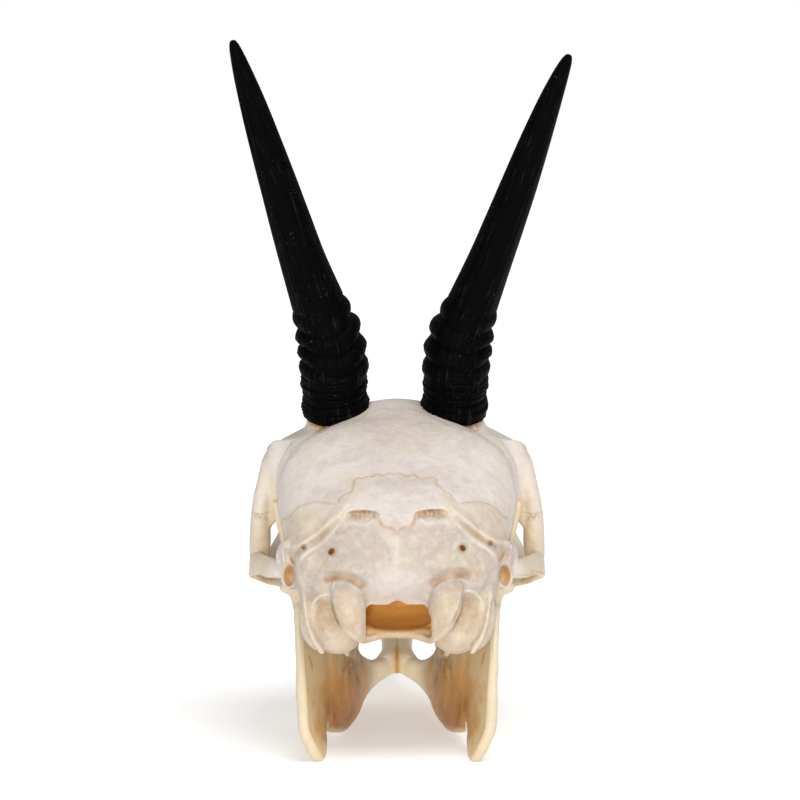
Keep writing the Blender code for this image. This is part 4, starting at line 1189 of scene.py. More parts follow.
# Forms of the jaw's outer face: the middle and the width in y and z of its fossa, of the brow in front
# of it, which leans by a share of the height above a middle, and of the low swelling along its body
JAW_FOSSA = ((36, 11), (21, 11))
JAW_BROW = ((53, 5), (2, 8, 26, 34))
JAW_BROW_LEAN = (0.5, 18)
JAW_SWELLING = ((50, 60, 100, 112), (6, 3))
JAW_FORM_HEIGHTS = (-1.1, 0.6, 0.35, 0.25)
JAW_WAVE = 0.11
GROOVE_WIDTH = 1.3
GROOVE_DEPTH = 1.1
GROOVE_END = (140, 128)

# Rounded places on the right side: the middle and the reach to its rim
GLAND_FOSSA = ((25, 108.5, 55.5), (8, 11, 8.5))
TOOTH_BULGE = ((20.5, 122, 38), (6, 16, 5))
BROW_TROUGH = ((12.5, 84, 89), (5, 16, 7))
CROWN = ((0, 40, 87), (17, 22, 12))
ABOVE_FORAMEN = ((0, 4, 49), (12, 14, 6.5))
EAR_MOUTH = ((28.4, 19.6, 49), (2.6, 3, 3.6))
EAR_DEPTH = ((28.4, 20, 49.8), (1.6, 3, 2))

# Where the horn's foot is eased into the bone: its rise along the horn and its distance from the axis
PEDICLE_RISE = (-14, -10, -3, -1.4)
PEDICLE_REACH = (17, 13)

# Part of the cranium that the relief of the back is drawn on: how far forward and how low it goes
RELIEF_FRONT = 64.0
RELIEF_LOW = 26.0
RELIEF_FADE = (40, 30)

# Sideways wander of sutures, how far in front of a hidden point something lies, and swellings of the
# bone with their size and scale
WANDER = (0.25, 0.5, 0.5, 0.5, 0.25)
HIDDEN_BY = 0.6
SWELLINGS = ((0.16, 0.14), (0.035, 1.1))
SMALLEST = 1e-9

# Lines, outlines and places on the back of the skull, in pixels of the photograph's frame, on its
# left side. The right side mirrors them about the midline, and its low outer parts lie a little higher.
RIGHT_RISE = 4.0
RISE_AWAY = (15, 80)
RISE_DOWN = (480, 520)
NUCHAL_RIDGE = [(283, 545.5), (294, 546.5), (305.5, 542.5), (317, 534.5), (328.4, 524.5), (336, 516.5),
                (343, 509), (349, 501), (355, 493)]
LOWER_RIDGE = [(343, 514), (337, 523), (331, 533), (320.4, 543.6), (309, 551), (301, 558),
               (297, 566), (298.5, 576), (302.5, 588)]
CREST_TROUGH = [(339, 517), (331, 526), (324, 533.5), (314, 541.5), (304, 548), (294, 554)]
MEDIAN_RIDGE = [(397, 530), (397.4, 540), (397, 556), (397, 574)]
NUCHAL_LIP = [(343, 521), (345.5, 514.5), (351, 510.8), (361, 510), (371, 510.4), (378, 512.6),
              (379.5, 517), (381.6, 522.6), (385, 526), (390, 526.4), (393.4, 528.6), (397, 534)]
CREST_PIT = [(345, 522.5), (347.5, 515.5), (353, 511.6), (359, 509.8), (366, 508.8), (373, 511.2),
             (379, 516.5), (380, 521.5), (373, 520.6), (364.5, 519.6), (357, 521.8), (350, 523.4)]
SIDE_GROOVE = [(335, 533.5), (341, 533), (347, 529.5), (350.5, 526)]
EAR_SLIT = [(289, 557), (291.5, 557), (296, 563), (295, 566.5), (291, 562.5)]
EAR_STRUT = [(283, 548), (283.2, 556), (284.5, 564)]
CONDYLE = [(331, 592), (335, 587), (343, 584.6), (351, 586), (358, 589.5), (362.5, 596),
           (364.5, 610), (365.5, 628), (365.5, 643), (360.5, 643.5), (352, 635.5), (343, 627),
           (336.5, 616), (332.5, 604)]
FORAMEN = [(366.3, 640), (365.8, 628), (366.4, 617), (370, 611.5), (376, 607.2), (383, 606),
           (389, 605), (393.5, 602), (397.8, 600.6), (402, 602.4), (406.5, 605), (413, 605.4),
           (421, 606.6), (427, 611), (430.6, 617), (431.2, 628), (431, 640), (424, 634.5),
           (412, 632.6), (398, 632.2), (384, 632.6), (373, 634.5)]
CONDYLE_FOSSA = [(322, 583.5), (328, 580), (336, 578.4), (344, 578.6), (352, 581), (359, 585.5),
                 (364.5, 591)]
RECESS = [(313, 622), (313.8, 604), (318.5, 598), (327, 596.6), (337, 597), (344, 608),
          (346, 624), (338, 638), (326, 642), (317, 634)]
RECESS_RIM = [(312.5, 610), (314.2, 602.6), (318.6, 597.2), (325, 595), (331, 595)]
VALLEY = [(322, 610), (320, 620), (323, 632), (330, 641)]
MASTOID_SUTURE = [(329.5, 554.5), (328.4, 556.2), (322.7, 565.4), (313.5, 576.9)]
MASTOID_HOLE = [(328.2, 553.6), (329.4, 549.8), (332.6, 548.4), (334.6, 550.2), (333.6, 553.4),
                (330.8, 555.2)]
TROUGH_HOLE = [(301.6, 547.4), (303.2, 545.8), (305.4, 546.6), (305, 548.6), (302.8, 549.2)]
JAW_GROOVE = [(309, 655), (310.6, 661), (312.4, 669)]
ZYGOMATIC_SUTURE = [(251, 514), (254.5, 517), (257.5, 513.6), (260.5, 518.6), (263.5, 516), (267, 520.5)]
ARCH_CRACK = [(250, 577.2), (256, 576), (261.8, 574.8), (263.4, 578.8), (271, 579.2), (279, 578.4)]
LAMBDOID_SUTURE = [(336.4, 504), (345.6, 494.8), (350.2, 490.2), (354.8, 483.3), (358.2, 478.7),
                   (366.3, 477.6), (373.2, 477.6), (377.8, 474.1), (387, 474.1), (397, 473.6)]
SQUAMOSAL_SUTURE = [(281.3, 523.5), (288.2, 516.6), (294, 512), (302, 505.1), (308.9, 502.8),
                    (320.4, 501.7), (331.8, 503.4), (336.4, 504)]
SQUAMA = [(279, 528), (288, 517), (302, 505.5), (320, 502), (336, 504.5), (338, 512),
          (322, 528), (304, 540), (286, 542)]
CORONAL_SUTURE = [(397, 408.6), (389, 408.7), (380, 409.8), (375.5, 411), (366.3, 414), (352, 423),
                  (336, 428.6), (322.7, 431.7), (313.5, 435.1), (306.6, 439.7), (298.5, 444.3),
                  (292.5, 450), (288, 457)]


# Relief of the back. Lines: the width above and below in pixels, the height in millimetres and the
# share of the length over which it fades out at the ends. Pits: the edge in pixels and the depth.
RELIEF_LINES = (
    (NUCHAL_RIDGE, 9, 4.5, 1.0, 0.2),
    (LOWER_RIDGE, 5, 7, 0.55, 0.2),
    (CREST_TROUGH, 6, 6, -0.75, 0.08),
    (MEDIAN_RIDGE, 9, 9, 0.3, 0.45),
    (SIDE_GROOVE, 4, 3, -0.25, 0.08),
    (VALLEY, 7, 7, -0.4, 0.08),
    (MASTOID_SUTURE, 1.6, 1.6, -0.12, 0.08),
    (EAR_STRUT, 2, 2, 0.5, 0.08),
    (CONDYLE_FOSSA, 10, 4, -1.3, 0.15),
)
RELIEF_PITS = ((EAR_SLIT, 2.0, 0.9), (MASTOID_HOLE, 1.2, 1.6), (TROUGH_HOLE, 0.9, 0.9))
LIP_SCARP = (15.0, (0.1, 0.9, 1.5, 1.5, 1.2, 0.5, 0.35, 0.45, 0.1))
RECESS_PIT = (RECESS, 9.0, 1.5)
RECESS_EDGE = (RECESS_RIM, 3.0, 2.0, 0.4, 0.25)
CONDYLE_EDGE = 2.5


def other_side(pixels):
    """The same places on the other side of the midline."""
    return [(2 * MIDLINE - u, v) for u, v in pixels]


def fine_cranium():
    """The cranium fused: first its massive forms, then the thin ones, and last the hollows."""
    mass = braincase_forms() + [muzzle_form()]
    thin = [skull_base()]
    for side in (-1, 1):
        thin += orbit_forms(side) + occiput_forms(side) + palate_forms(side)
        thin.append(pedicle_form(side))
    bone = mass[0]
    combine(bone, mass[1:], "UNION")
    soften(bone, *MASSIVE_FUSION)
    combine(bone, thin, "UNION")
    sockets = [space(side) for space in (horn_seat, jaw_socket) for side in (-1, 1)]
    combine(bone, cranium_cutters() + sockets, "DIFFERENCE")
    soften(bone, *CRANIUM_FUSION)
    keep_largest(bone)
    return bone


def fine_mandible(side):
    """One half of the lower jaw fused."""
    forms = mandible_forms(side)
    bone = forms[0]
    combine(bone, forms[1:], "UNION")
    soften(bone, *MANDIBLE_FUSION)
    keep_largest(bone)
    return bone


def flatten_occiput(surface):
    """Draw the back of the skull to its plate, which bows forwards at the sides."""
    x, y, z = surface.points.T
    height, sweep, power = PLATE_SWEEP
    plate = PLATE_REAR + PLATE_BOW * x * x + sweep * np.maximum(0, height - z) ** power
    share = zone(surface.points, OCCIPUT_PLATE) * step(0.15, 0.5, -surface.normals[:, 1])
    surface.points[:, 1] += 0.85 * share * (plate - y)


def folded(pixels):
    """Pixels folded onto the left side about the midline."""
    away = np.abs(pixels[:, 0] - MIDLINE)
    rise = RIGHT_RISE * step(*RISE_AWAY, away) * step(*RISE_DOWN, pixels[:, 1])
    return np.column_stack([MIDLINE - away, pixels[:, 1] + np.where(pixels[:, 0] > MIDLINE, rise, 0)])


def line_distance(pixels, line, reach):
    """Distance in pixels to a smooth line, the side of it and the share of its length."""
    fine = smooth_rows(line, 6)
    near = boxed(pixels, fine, reach)
    flat = ((0, 0), (0, 1))
    distance = np.full(len(pixels), np.inf)
    side = np.ones(len(pixels))
    share = np.zeros(len(pixels))
    found = beside(np.pad(pixels[near], flat), (0.0, 0.0, -1.0), np.pad(fine, flat))
    distance[near], side[near], share[near] = found
    return distance, side, share


def inside_distance(pixels, outline, reach):
    """Distance in pixels to a closed outline, above zero inside it."""
    closed = list(outline) + [outline[0]]
    distance, _, _ = line_distance(pixels, closed, reach)
    fine = smooth_rows(closed, 6)
    inside = np.zeros(len(pixels), bool)
    for (u1, v1), (u2, v2) in zip(fine[:-1], fine[1:]):
        crosses = (v1 > pixels[:, 1]) != (v2 > pixels[:, 1])
        if v1 != v2:
            inside ^= crosses & (pixels[:, 0] < (u2 - u1) * (pixels[:, 1] - v1) / (v2 - v1) + u1)
    return np.where(inside, np.minimum(distance, reach), -distance)


def crest_line(pixels, line, above, below, height, ends=0.08):
    """Height of a ridge with its own width on either side, in pixels, and in millimetres high."""
    distance, side, share = line_distance(pixels, line, max(above, below))
    width = np.where(side < 0, above, below)
    lift = np.where(distance < width, (1 - np.minimum(distance / width, 1) ** 2) ** 2, 0.0)
    return height * lift * step(0, ends, share) * step(0, ends, 1 - share)


def scarp(pixels, line, reach, depths):
    """Depth below an overhanging line: sharp at the line and fading out downwards, varied along it."""
    distance, side, share = line_distance(pixels, line, reach + 2)
    down = distance * side
    depth = np.interp(share, np.linspace(0, 1, len(depths)), depths)
    return -depth * step(-1.2, 2.0, down) * step(reach, reach * 0.35, down) * (distance < reach + 2)


def hollow(pixels, outline, edge, depth):
    """Depth of a pit inside an outline, reached over an edge given in pixels."""
    return -depth * step(-0.4 * edge, edge, inside_distance(pixels, outline, 2 * edge + 2))


def rear_relief(pixels):
    """Relief of the skull's back towards the camera, in millimetres."""
    spots = folded(pixels)
    relief = sum(crest_line(spots, *row) for row in RELIEF_LINES)
    relief += sum(hollow(spots, *row) for row in RELIEF_PITS)
    relief += scarp(spots, NUCHAL_LIP, *LIP_SCARP)
    recess = hollow(spots, *RECESS_PIT) + crest_line(spots, *RECESS_EDGE)
    return relief + recess * (1 - inside_share(spots, CONDYLE, CONDYLE_EDGE))


def inside_share(pixels, outline, edge):
    """How far inside an outline each place lies, from 0 at the outline to 1 an edge's width inside."""
    return step(0.0, edge, inside_distance(pixels, outline, edge + 2))


def undulate(surface, share):
    """Gentle uneven swellings and a fine rough grain where share is above zero."""
    chosen = np.flatnonzero(share > 0.01)
    places = surface.points[chosen]
    swell = sum(size * clouds(places, scale, octaves=3) for size, scale in SWELLINGS)
    surface.points[chosen] += surface.normals[chosen] * (swell * share[chosen])[:, None]


def sculpt_face(surface):
    """Run the forms of the face into each other, and press in its fossae and foramina."""
    points = surface.points
    share = zone(points, MUZZLE) * (1 - zone(points, CHEEK_ROOT))
    share = np.maximum(share, zone(points, FOREHEAD))
    for side in (-1, 1):
        rise, away = surface.from_horn(side)
        share = np.maximum(share, within(rise, *PEDICLE_RISE) * within(away, *PEDICLE_REACH))
    share = np.maximum(share, zone(points, DEEP_ORBIT))
    share = np.maximum(share, 0.8 * zone(points, WING_CORNER))
    surface.ease(FACE_ROUNDS, share)
    surface.settle()
    near = np.zeros(len(surface.points), bool)
    for side in (-1, 1):
        for place, radius, _ in FACE_HOLES:
            near |= np.linalg.norm(surface.points - on_side(place, side), axis=1) < radius * 2.2
    surface.refine(near)
    for side in (-1, 1):
        for (middle, reach), height in ((GLAND_FOSSA, -2.6), (TOOTH_BULGE, 0.6), (BROW_TROUGH, -0.7)):
            surface.swell(on_side(middle, side), reach, height)
        for place, radius, depth in FACE_HOLES:
            surface.swell(on_side(place, side), (radius, radius * 1.3, radius), -depth)
    surface.settle()


def sculpt_cranium(surface):
    """The fine shape of the cranium's back, drawn in the photograph's frame and pushed along its view."""
    sculpt_face(surface)
    flatten_occiput(surface)
    surface.settle()
    facing = surface.facing()
    _, y, z = surface.points.T
    surface.refine((averaged(facing, surface.edges, 2) > 0.02) & (y < RELIEF_FRONT) & (z > RELIEF_LOW))
    facing = averaged(surface.facing(), surface.edges, 2)
    surface.ease(2, step(0.0, 0.1, facing))
    rear = step(0.03, 0.25, facing) * step(*RELIEF_FADE, surface.points[:, 1])
    surface.points -= FORWARD * (rear * rear_relief(surface.pixels()))[:, None]
    surface.settle()
    undulate(surface, step(0.0, 0.2, facing))
    surface.settle()


def srgb(*values):
    """A tone given in 0 to 255 screen values, as linear light."""
    value = np.array(values) / 255
    return np.where(value <= 0.04045, value / 12.92, ((value + 0.055) / 1.055) ** 2.4)


IVORY = srgb(214, 206, 201)
WHITE = srgb(226, 220, 211)
WARM = srgb(210, 197, 176)
PINK = srgb(197, 180, 169)
PLATE = srgb(171, 158, 144)
PEACH = srgb(196, 172, 144)
TAN = srgb(180, 148, 108)
# Painted shade of pits, fossae and small holes, and under the crest's lip
HOLLOW_SHADE = srgb(160, 118, 70)
PIT_SHADE = srgb(126, 90, 52)
AMBER = srgb(196, 146, 76)
# Painted shade deep in the ears and in the mastoid hole
AMBER_SHADE = srgb(150, 92, 30)
JAW_GOLD = srgb(226, 204, 158)
JAW_BROWN = srgb(216, 166, 102)
JAW_DARK = srgb(172, 108, 42)
JAW_EDGE = srgb(216, 203, 176)
# Painted light: the back of the symphysis far brighter than the bone, where little light reaches it
COLUMN_LIT = srgb(252, 240, 214)
# Painted glow in the foramen's depth, darker towards its top
FORAMEN_GLOW = srgb(236, 184, 100)
FORAMEN_GLOW_TOP = srgb(204, 138, 40)
DARK_CREAM = srgb(196, 172, 142)
# Painted glow at the mouths of the ears
EAR_GLOW = srgb(222, 162, 54)
CREAM = srgb(210, 193, 165)
CREAM_GOLD = srgb(224, 196, 148)
STAIN = srgb(128, 80, 36)
ENAMEL = srgb(233, 221, 196)
TOOTH_NECK_TONE = srgb(150, 108, 62)

# Share that the bone's tones keep where a cut shows its inside, and colours that the materials mix in
CUT_TONE = np.array((0.66, 0.55, 0.38))
SEAM_TONE = (0.50, 0.32, 0.12, 1.0)
MOTTLE = (0.86, 0.80, 0.72, 1.0)
FINE_MOTTLE = (0.84, 0.78, 0.70, 1.0)
HORN_BLACK = (0.0008, 0.0008, 0.0008, 1.0)
HORN_STREAK = (0.020, 0.016, 0.012, 1.0)
HORN_SPECK = (0.13, 0.10, 0.07, 1.0)
ENAMEL_STAIN = (0.62, 0.46, 0.26, 1.0)
NOISE_ROUGHNESS = 0.6

# Noises of the materials: their scale, finer as it grows, and their detail
BONE_NOISES = ((90.0, 5.0), (900.0, 4.0), (4200.0, 2.0))
HORN_STREAK_NOISE = (1.0, 4.0)
HORN_NOISES = ((1500.0, 4.0), (140.0, 3.0))
TOOTH_NOISES = ((260.0, 4.0), (1200.0, 3.0))

# Ranges that the materials carry noises and distances from, and those that they carry them to
BROAD_MOTTLING = (0.35, 0.7, 0.0, 0.22)
FINE_MOTTLING = (0.48, 0.75, 0.0, 0.35)
SEAM_WANDER = 0.9
SEAM_BREAKS = (0.38, 0.55, 0.45, 1.0)
SEAM_LINE = (0.05, 0.22, 1.0, 0.0)
SEAM_HALO = (0.1, 1.0, 0.26, 0.0)
SEAM_SHARE = 0.55
SEAM_DEPTH = 0.8
BONE_RELIEF_SHARES = (0.7, 0.3)
HORN_STREAKING = (0.56, 0.78, 0.0, 1.0)
HORN_SPECKLING = ((0.64, 0.72, 0.0, 1.0), (0.50, 0.62, 0.0, 0.9))
HORN_ROUGHNESS = (0.3, 0.7, 0.42, 0.6)
TOOTH_STAINING = (0.4, 0.75, 0.0, 0.5)

# Fine relief of the materials: its strength and its distance in metres
BONE_BUMP = (0.35, 0.0002)
HORN_BUMP = (0.6, 0.0003)
TOOTH_BUMP = (0.2, 0.0002)

# Spans of how open a place lies to the sky over which it takes the tones of shade and of darkness
SHADED = (0.95, 0.6)
DARK = (0.62, 0.2)

# Small and large hollows: the rounds of smoothing that find them, and the depth that counts as one
SMALL_HOLLOWS = (10, 0.10)
LARGE_HOLLOWS = (60, 0.55)

# Clouds on the bones: their scale and their seed, and those drawn in the photograph's frame, with
# their scales across and down and their depth
BROAD_CLOUD = (0.16, 1)
FINE_CLOUD = (0.5, 2)
LIP_CLOUD = (2.2, 5)
HORN_SEAM_CLOUD = (0.5, 7)
JAW_BROAD_CLOUD = (0.22, 3)
JAW_FINE_CLOUD = (0.9, 4)
PIT_STREAKS = (0.42, 0.11, 3.0)
BLOTS = (0.07, 0.035, 5.0)
RUST = (0.16, 0.045, 9.0)

# Spans in the photograph's pixels, down or across, over which tints of the back begin or end
RECESS_LOW = (644, 606)
CONDYLE_LOW = (602, 632)
PIT_TOP = (523, 512)
ARCH_LOW = (576, 581)
JAW_GOLD_ACROSS = (297, 315)
JAW_GOLD_DOWN = (768, 735)
JAW_BROWN_ACROSS = (310, 328)
JAW_BROWN_DOWN = (640, 690)
JAW_BROWN_END = (752, 732)
JAW_DARK_ACROSS = (338, 17)
JAW_DARK_DOWN = (724, 27)
LOBE_GOLD_DOWN = (738, 752)
LOBE_BROWN_DOWN = (736, 756)
COLUMN_GOLD_DOWN = (668, 680)
STAIN_ACROSS = (338, 348, 358, 366)
STAIN_DOWN = (698, 668)

# Sutures in the mesh: how far their distance is noted, the value beyond, how much of their length fades
# at each end, and their faintest share
SEAM_REACH = 1.6
NO_SEAM = (9.0, 0.0, 0.0)
SEAM_ENDS = 0.04
SEAM_LEAST = 0.4

# Shade under the crest's lip: how far it reaches in pixels, and its strength along the lip
LIP_REACH = 9.0
BROW_SHADE = ((0, 0.12, 0.2, 0.5, 0.6, 0.8, 1), (0, 0.3, 0.9, 0.9, 0.45, 0.4, 0.2))

# Tints along lines of the back: the widths above and below, the strength and the fade at the ends
RIDGE_TINTS = (
    (DARK_CREAM, (NUCHAL_RIDGE, 7.0, 7.0, 0.6)),
    (WHITE, (NUCHAL_RIDGE, 3.5, 3.5, 0.45)),
    (IVORY, (LOWER_RIDGE, 4.0, 4.0, 0.5)),
    (WHITE, (MEDIAN_RIDGE, 8.0, 8.0, 0.25)),
    (WHITE, (RECESS_RIM, 2.5, 2.5, 0.7)),
)
# Painted shade along the fossa above each condyle and along the crest's trough
SHADED_LINES = (
    (TAN, (CONDYLE_FOSSA, 10.0, 4.0, 0.6, 0.15)),
    (HOLLOW_SHADE, (CONDYLE_FOSSA, 5.0, 3.5, 0.8, 0.15)),
    (TAN, (CREST_TROUGH, 5.0, 5.0, 0.35, 0.15)),
)

# Painted shade inside the small holes: the edge in pixels, and the halo of the plate's tone round two of
# them
HOLE_TINTS = ((AMBER, (EAR_SLIT, 2.0)), (AMBER_SHADE, (MASTOID_HOLE, 1.0)), (AMBER, (TROUGH_HOLE, 0.9)))
HOLE_HALOS = ((MASTOID_HOLE, 7.0), (TROUGH_HOLE, 5.0))
HALO_EDGE = 2.5
HOLE_STRENGTH = 0.95

# Sutures of the back with their jag in millimetres and their strength, and the seeds of the jags
REAR_SUTURES = (
    (LAMBDOID_SUTURE, 0.6, 1.2),
    (SQUAMOSAL_SUTURE, 0.2, 0.9),
    (CORONAL_SUTURE, 0.3, 0.9),
    (MASTOID_SUTURE, 0.12, 1),
    (ZYGOMATIC_SUTURE, 0.1, 1),
    (ARCH_CRACK, 0.1, 1.2),
)
FIRST_SEAM_SEED = 4
BROW_SEAM_SEED = 90


class Paint:
    """Tones of a bone, one for each point, and the signed distance to its sutures."""

    def __init__(self, surface, base):
        self.surface = surface
        self.tones = np.tile(base, (len(surface.points), 1))
        self.seams = np.tile(NO_SEAM, (len(surface.points), 1))
        self.edges = surface.edges

    def tint(self, tone, share):
        """Draw the tones towards one tone by a share at each point."""
        share = np.clip(share, 0, 1)[:, None]
        self.tones = self.tones * (1 - share) + tone * share

    def lay(self, tone, strength, spans, share=1.0):
        """Tint a zone, in part where a share is given."""
        self.tint(tone, strength * zone(self.surface.points, spans) * share)

    def spot(self, middle, radii, tone, strength):
        """Tint the bone round a place."""
        self.tint(tone, strength * step(0, 0.7, self.surface.near_ball(middle, radii)))

    def hollows(self, rounds, depth):
        """How hollow each point lies, in shares of a depth in millimetres; ridges are below zero."""
        points = self.surface.points
        rise = np.einsum("ij,ij->i", averaged(points, self.edges, rounds) - points, self.surface.normals)
        return averaged(rise, self.edges, 2) / depth

    def cloud(self, scale, seed):
        """Cloudy values of the bone's points."""
        return clouds(self.surface.points, scale, seed)

    def seam(self, line, strength):
        """Note a suture's distance at the points beside it."""
        near, distance, side, share = self.surface.along(line, SEAM_REACH)
        closer = distance < np.abs(self.seams[near, 0])
        near, distance, side, share = near[closer], distance[closer], side[closer], share[closer]
        fade = step(0, SEAM_ENDS, share) * step(0, SEAM_ENDS, 1 - share)
        self.seams[near, 0] = side * distance
        self.seams[near, 1] = strength * (SEAM_LEAST + (1 - SEAM_LEAST) * fade)

    def store(self):
        """Write the tones and the sutures into the mesh."""
        note_tones(self.surface.obj.data, self.tones)
        note_vectors(self.surface.obj.data, "seam", self.seams)


def openness(surface, voxel=1.8, rays=18, start=1.6, reach=24.0):
    """Share of open sky over each point, found on a coarse copy of the bone by rays from just off it."""
    coarse = surface.obj.copy()
    coarse.data = surface.obj.data.copy()
    bpy.context.scene.collection.objects.link(coarse)
    soften(coarse, voxel, 1)
    points = mesh_points(coarse)
    normals = mesh_normals(coarse)
    bpy.data.objects.remove(coarse, do_unlink=True)
    turn = np.arange(rays) * math.pi * (3 - math.sqrt(5))
    height = np.sqrt((np.arange(rays) + 0.5) / rays)
    flat = np.sqrt(1 - height ** 2)
    sky = np.stack([flat * np.cos(turn), flat * np.sin(turn), height], axis=1)
    across = np.cross(normals, (0.31, 0.57, 0.76))
    across /= np.maximum(np.linalg.norm(across, axis=1), 1e-9)[:, None]
    along = np.cross(normals, across)
    open_share = np.zeros(len(points))
    starts = (points + normals * start) * MM
    for ray in sky:
        ways = across * ray[0] + along * ray[1] + normals * ray[2]
        for index in range(len(points)):
            if surface.tree.ray_cast(starts[index], ways[index], reach * MM)[0] is None:
                open_share[index] += 1 / rays
    tree = point_tree(points)
    fine = np.zeros(len(surface.points))
    for index, place in enumerate(surface.points):
        found = tree.find_n(place, 3)
        weights = [1 / (away + 0.2) for _, _, away in found]
        fine[index] = sum(w * open_share[i] for w, (_, i, _) in zip(weights, found)) / sum(weights)
    return fine


def paint_ground(paint, opened):
    """The broad tones: the plate behind, the crown, the underside, painted shade, hollows and ridges."""
    small = paint.hollows(*SMALL_HOLLOWS)
    large = paint.hollows(*LARGE_HOLLOWS)
    paint.lay(PLATE, 0.85, BEHIND)
    paint.spot(*CROWN, PINK, 0.5)
    paint.lay(CREAM, 0.8, UNDERSIDE)
    # Painted shade where less sky reaches the bone: cream where shaded, amber where darker still
    paint.tint(CREAM, 0.7 * step(*SHADED, opened))
    paint.tint(AMBER, 0.75 * step(*DARK, opened))
    paint.tint(TAN, 0.8 * step(0.15, 1.2, small) + 0.5 * step(0.2, 1.4, large))
    paint.tint(WHITE, 0.5 * step(0.2, 1.4, -small) + 0.2 * step(0.3, 1.2, -large))


def paint_occiput(paint, spots, behind):
    """The ridges' tints, the condyles and painted shade in the hollows behind."""
    for tone, row in RIDGE_TINTS:
        paint.tint(tone, behind * crest_line(spots, *row))
    condyle = inside_share(spots, CONDYLE, CONDYLE_EDGE)
    recess = inside_share(spots, *RECESS_PIT[:2]) * (1 - condyle) * step(*RECESS_LOW, spots[:, 1])
    # Painted shade in the recess beside each condyle, strongest towards its top
    paint.tint(TAN, 0.85 * behind * recess)
    paint.tint(PEACH, 0.8 * behind * inside_share(spots, CONDYLE, 9.0))
    paint.tint(TAN, 0.5 * behind * condyle * step(*CONDYLE_LOW, spots[:, 1]))
    for tone, row in SHADED_LINES:
        paint.tint(tone, behind * crest_line(spots, *row))


def paint_pits(paint, spots, behind):
    """The pits under the crest: painted shade below their brow, fading downwards in short upright streaks.
    """
    depth = inside_share(spots, CREST_PIT, 3.0) * behind
    streak = np.zeros(len(spots))
    chosen = np.flatnonzero(depth > 0)
    streak[chosen] = seen_clouds(spots[chosen], *PIT_STREAKS, octaves=3)
    top = step(*PIT_TOP, spots[:, 1])
    # Painted shade in the pits, darker towards their top under the brow
    paint.tint(HOLLOW_SHADE, depth * (0.45 + 0.5 * top))
    paint.tint(CREAM, 0.7 * depth * step(0.0, 0.35, streak) * (1 - 0.6 * top))
    distance, side, along = line_distance(spots, NUCHAL_LIP, LIP_REACH)
    down = distance * side
    under = behind * (distance < LIP_REACH)
    near = step(-0.6, 1.0, down) * step(7.0, 1.5, down)
    paint.tint(PIT_SHADE, 0.7 * under * np.interp(along, *BROW_SHADE) * near * step(-0.5, 0.2, -streak))
    thin = step(-1.2, 0.0, down) * step(2.6, 1.0, down) * step(0.45, 0.55, along)
    paint.tint(AMBER, 0.85 * under * thin * step(-0.35, 0.1, paint.cloud(*LIP_CLOUD)))


def paint_cheeks(paint, spots, opened):
    """The squama, the orbits' rims with painted shade inside them, and the golden cheek arches with their
    crack.
    """
    paint.lay(CREAM, 0.6, SQUAMA_REAR, inside_share(spots, SQUAMA, 10.0))
    paint.lay(CREAM, 0.8, CHEEK_BAR)
    paint.lay(WARM, 0.5, RIM_OUTSIDE)
    # Painted golden shade inside the orbit's rim where less sky reaches
    paint.lay(CREAM_GOLD, 0.35, RIM_INSIDE, step(0.9, 0.5, opened))
    paint.lay(CREAM_GOLD, 0.7, ARCH, step(*ARCH_LOW, spots[:, 1]))
    paint.lay(AMBER, 1.0, ARCH, crest_line(spots, ARCH_CRACK, 1.4, 1.4, 0.9, 0.02))


def paint_clouds(paint):
    """Broad and fine mottling of the whole bone."""
    broad = paint.cloud(*BROAD_CLOUD)
    paint.lay(PINK, 0.45, BRAINCASE, step(-0.1, 0.5, broad))
    paint.tint(WARM, 0.45 * step(-0.1, 0.5, -broad))
    fine = paint.cloud(*FINE_CLOUD)
    paint.tint(WHITE, 0.22 * step(-0.2, 0.6, fine))
    paint.lay(PINK, 0.22, BEHIND, step(-0.2, 0.6, -fine))


def paint_openings(paint, spots, opened, behind):
    """A painted glow in the foramen and ears, painted shade deeper in the ears and in small holes, and the
    horns' seams.
    """
    surface = paint.surface
    paint.tint(IVORY, 0.5 * behind * step(0.0, 0.8, surface.near_ball(*ABOVE_FORAMEN)))
    # Painted glow in the foramen's depth where little sky reaches, darker towards its top
    depth = zone(surface.points, FORAMEN_DEPTH) * step(0.95, 0.7, opened)
    paint.tint(FORAMEN_GLOW, depth)
    paint.tint(FORAMEN_GLOW_TOP, 0.8 * depth * step(37.0, 43.0, surface.points[:, 2]))
    paint.lay(TAN, 0.6, FORAMEN_LIP)
    for side in (-1, 1):
        # Painted glow at the mouth of each ear, and painted shade deeper in
        for (middle, reach), tone, strength in ((EAR_MOUTH, EAR_GLOW, 0.95), (EAR_DEPTH, AMBER_SHADE, 0.45)):
            paint.spot(on_side(middle, side), reach, tone, strength)
        rise, away = surface.from_horn(side)
        rim = step(-1.8, -0.5, rise) * step(11.0, 9.4, away)
        rim *= step(-0.3, 0.3, paint.cloud(*HORN_SEAM_CLOUD))
        paint.tint(AMBER, 0.9 * rim)
    for outline, reach in HOLE_HALOS:
        away = np.linalg.norm(spots - np.mean(outline, 0), axis=1)
        paint.tint(PLATE, behind * step(reach, reach - HALO_EDGE, away))
    # Painted shade inside the small holes of the back
    for tone, row in HOLE_TINTS:
        paint.tint(tone, -behind * hollow(spots, *row, HOLE_STRENGTH))
    for side in (-1, 1):
        # Painted shade in the small holes of the face
        for place, radius, _ in FACE_HOLES:
            paint.spot(on_side(place, side), (radius * 1.1,) * 3, HOLLOW_SHADE, 0.9)
        paint.spot(on_side(GLAND_FOSSA[0], side), GLAND_FOSSA[1], TAN, 0.35)


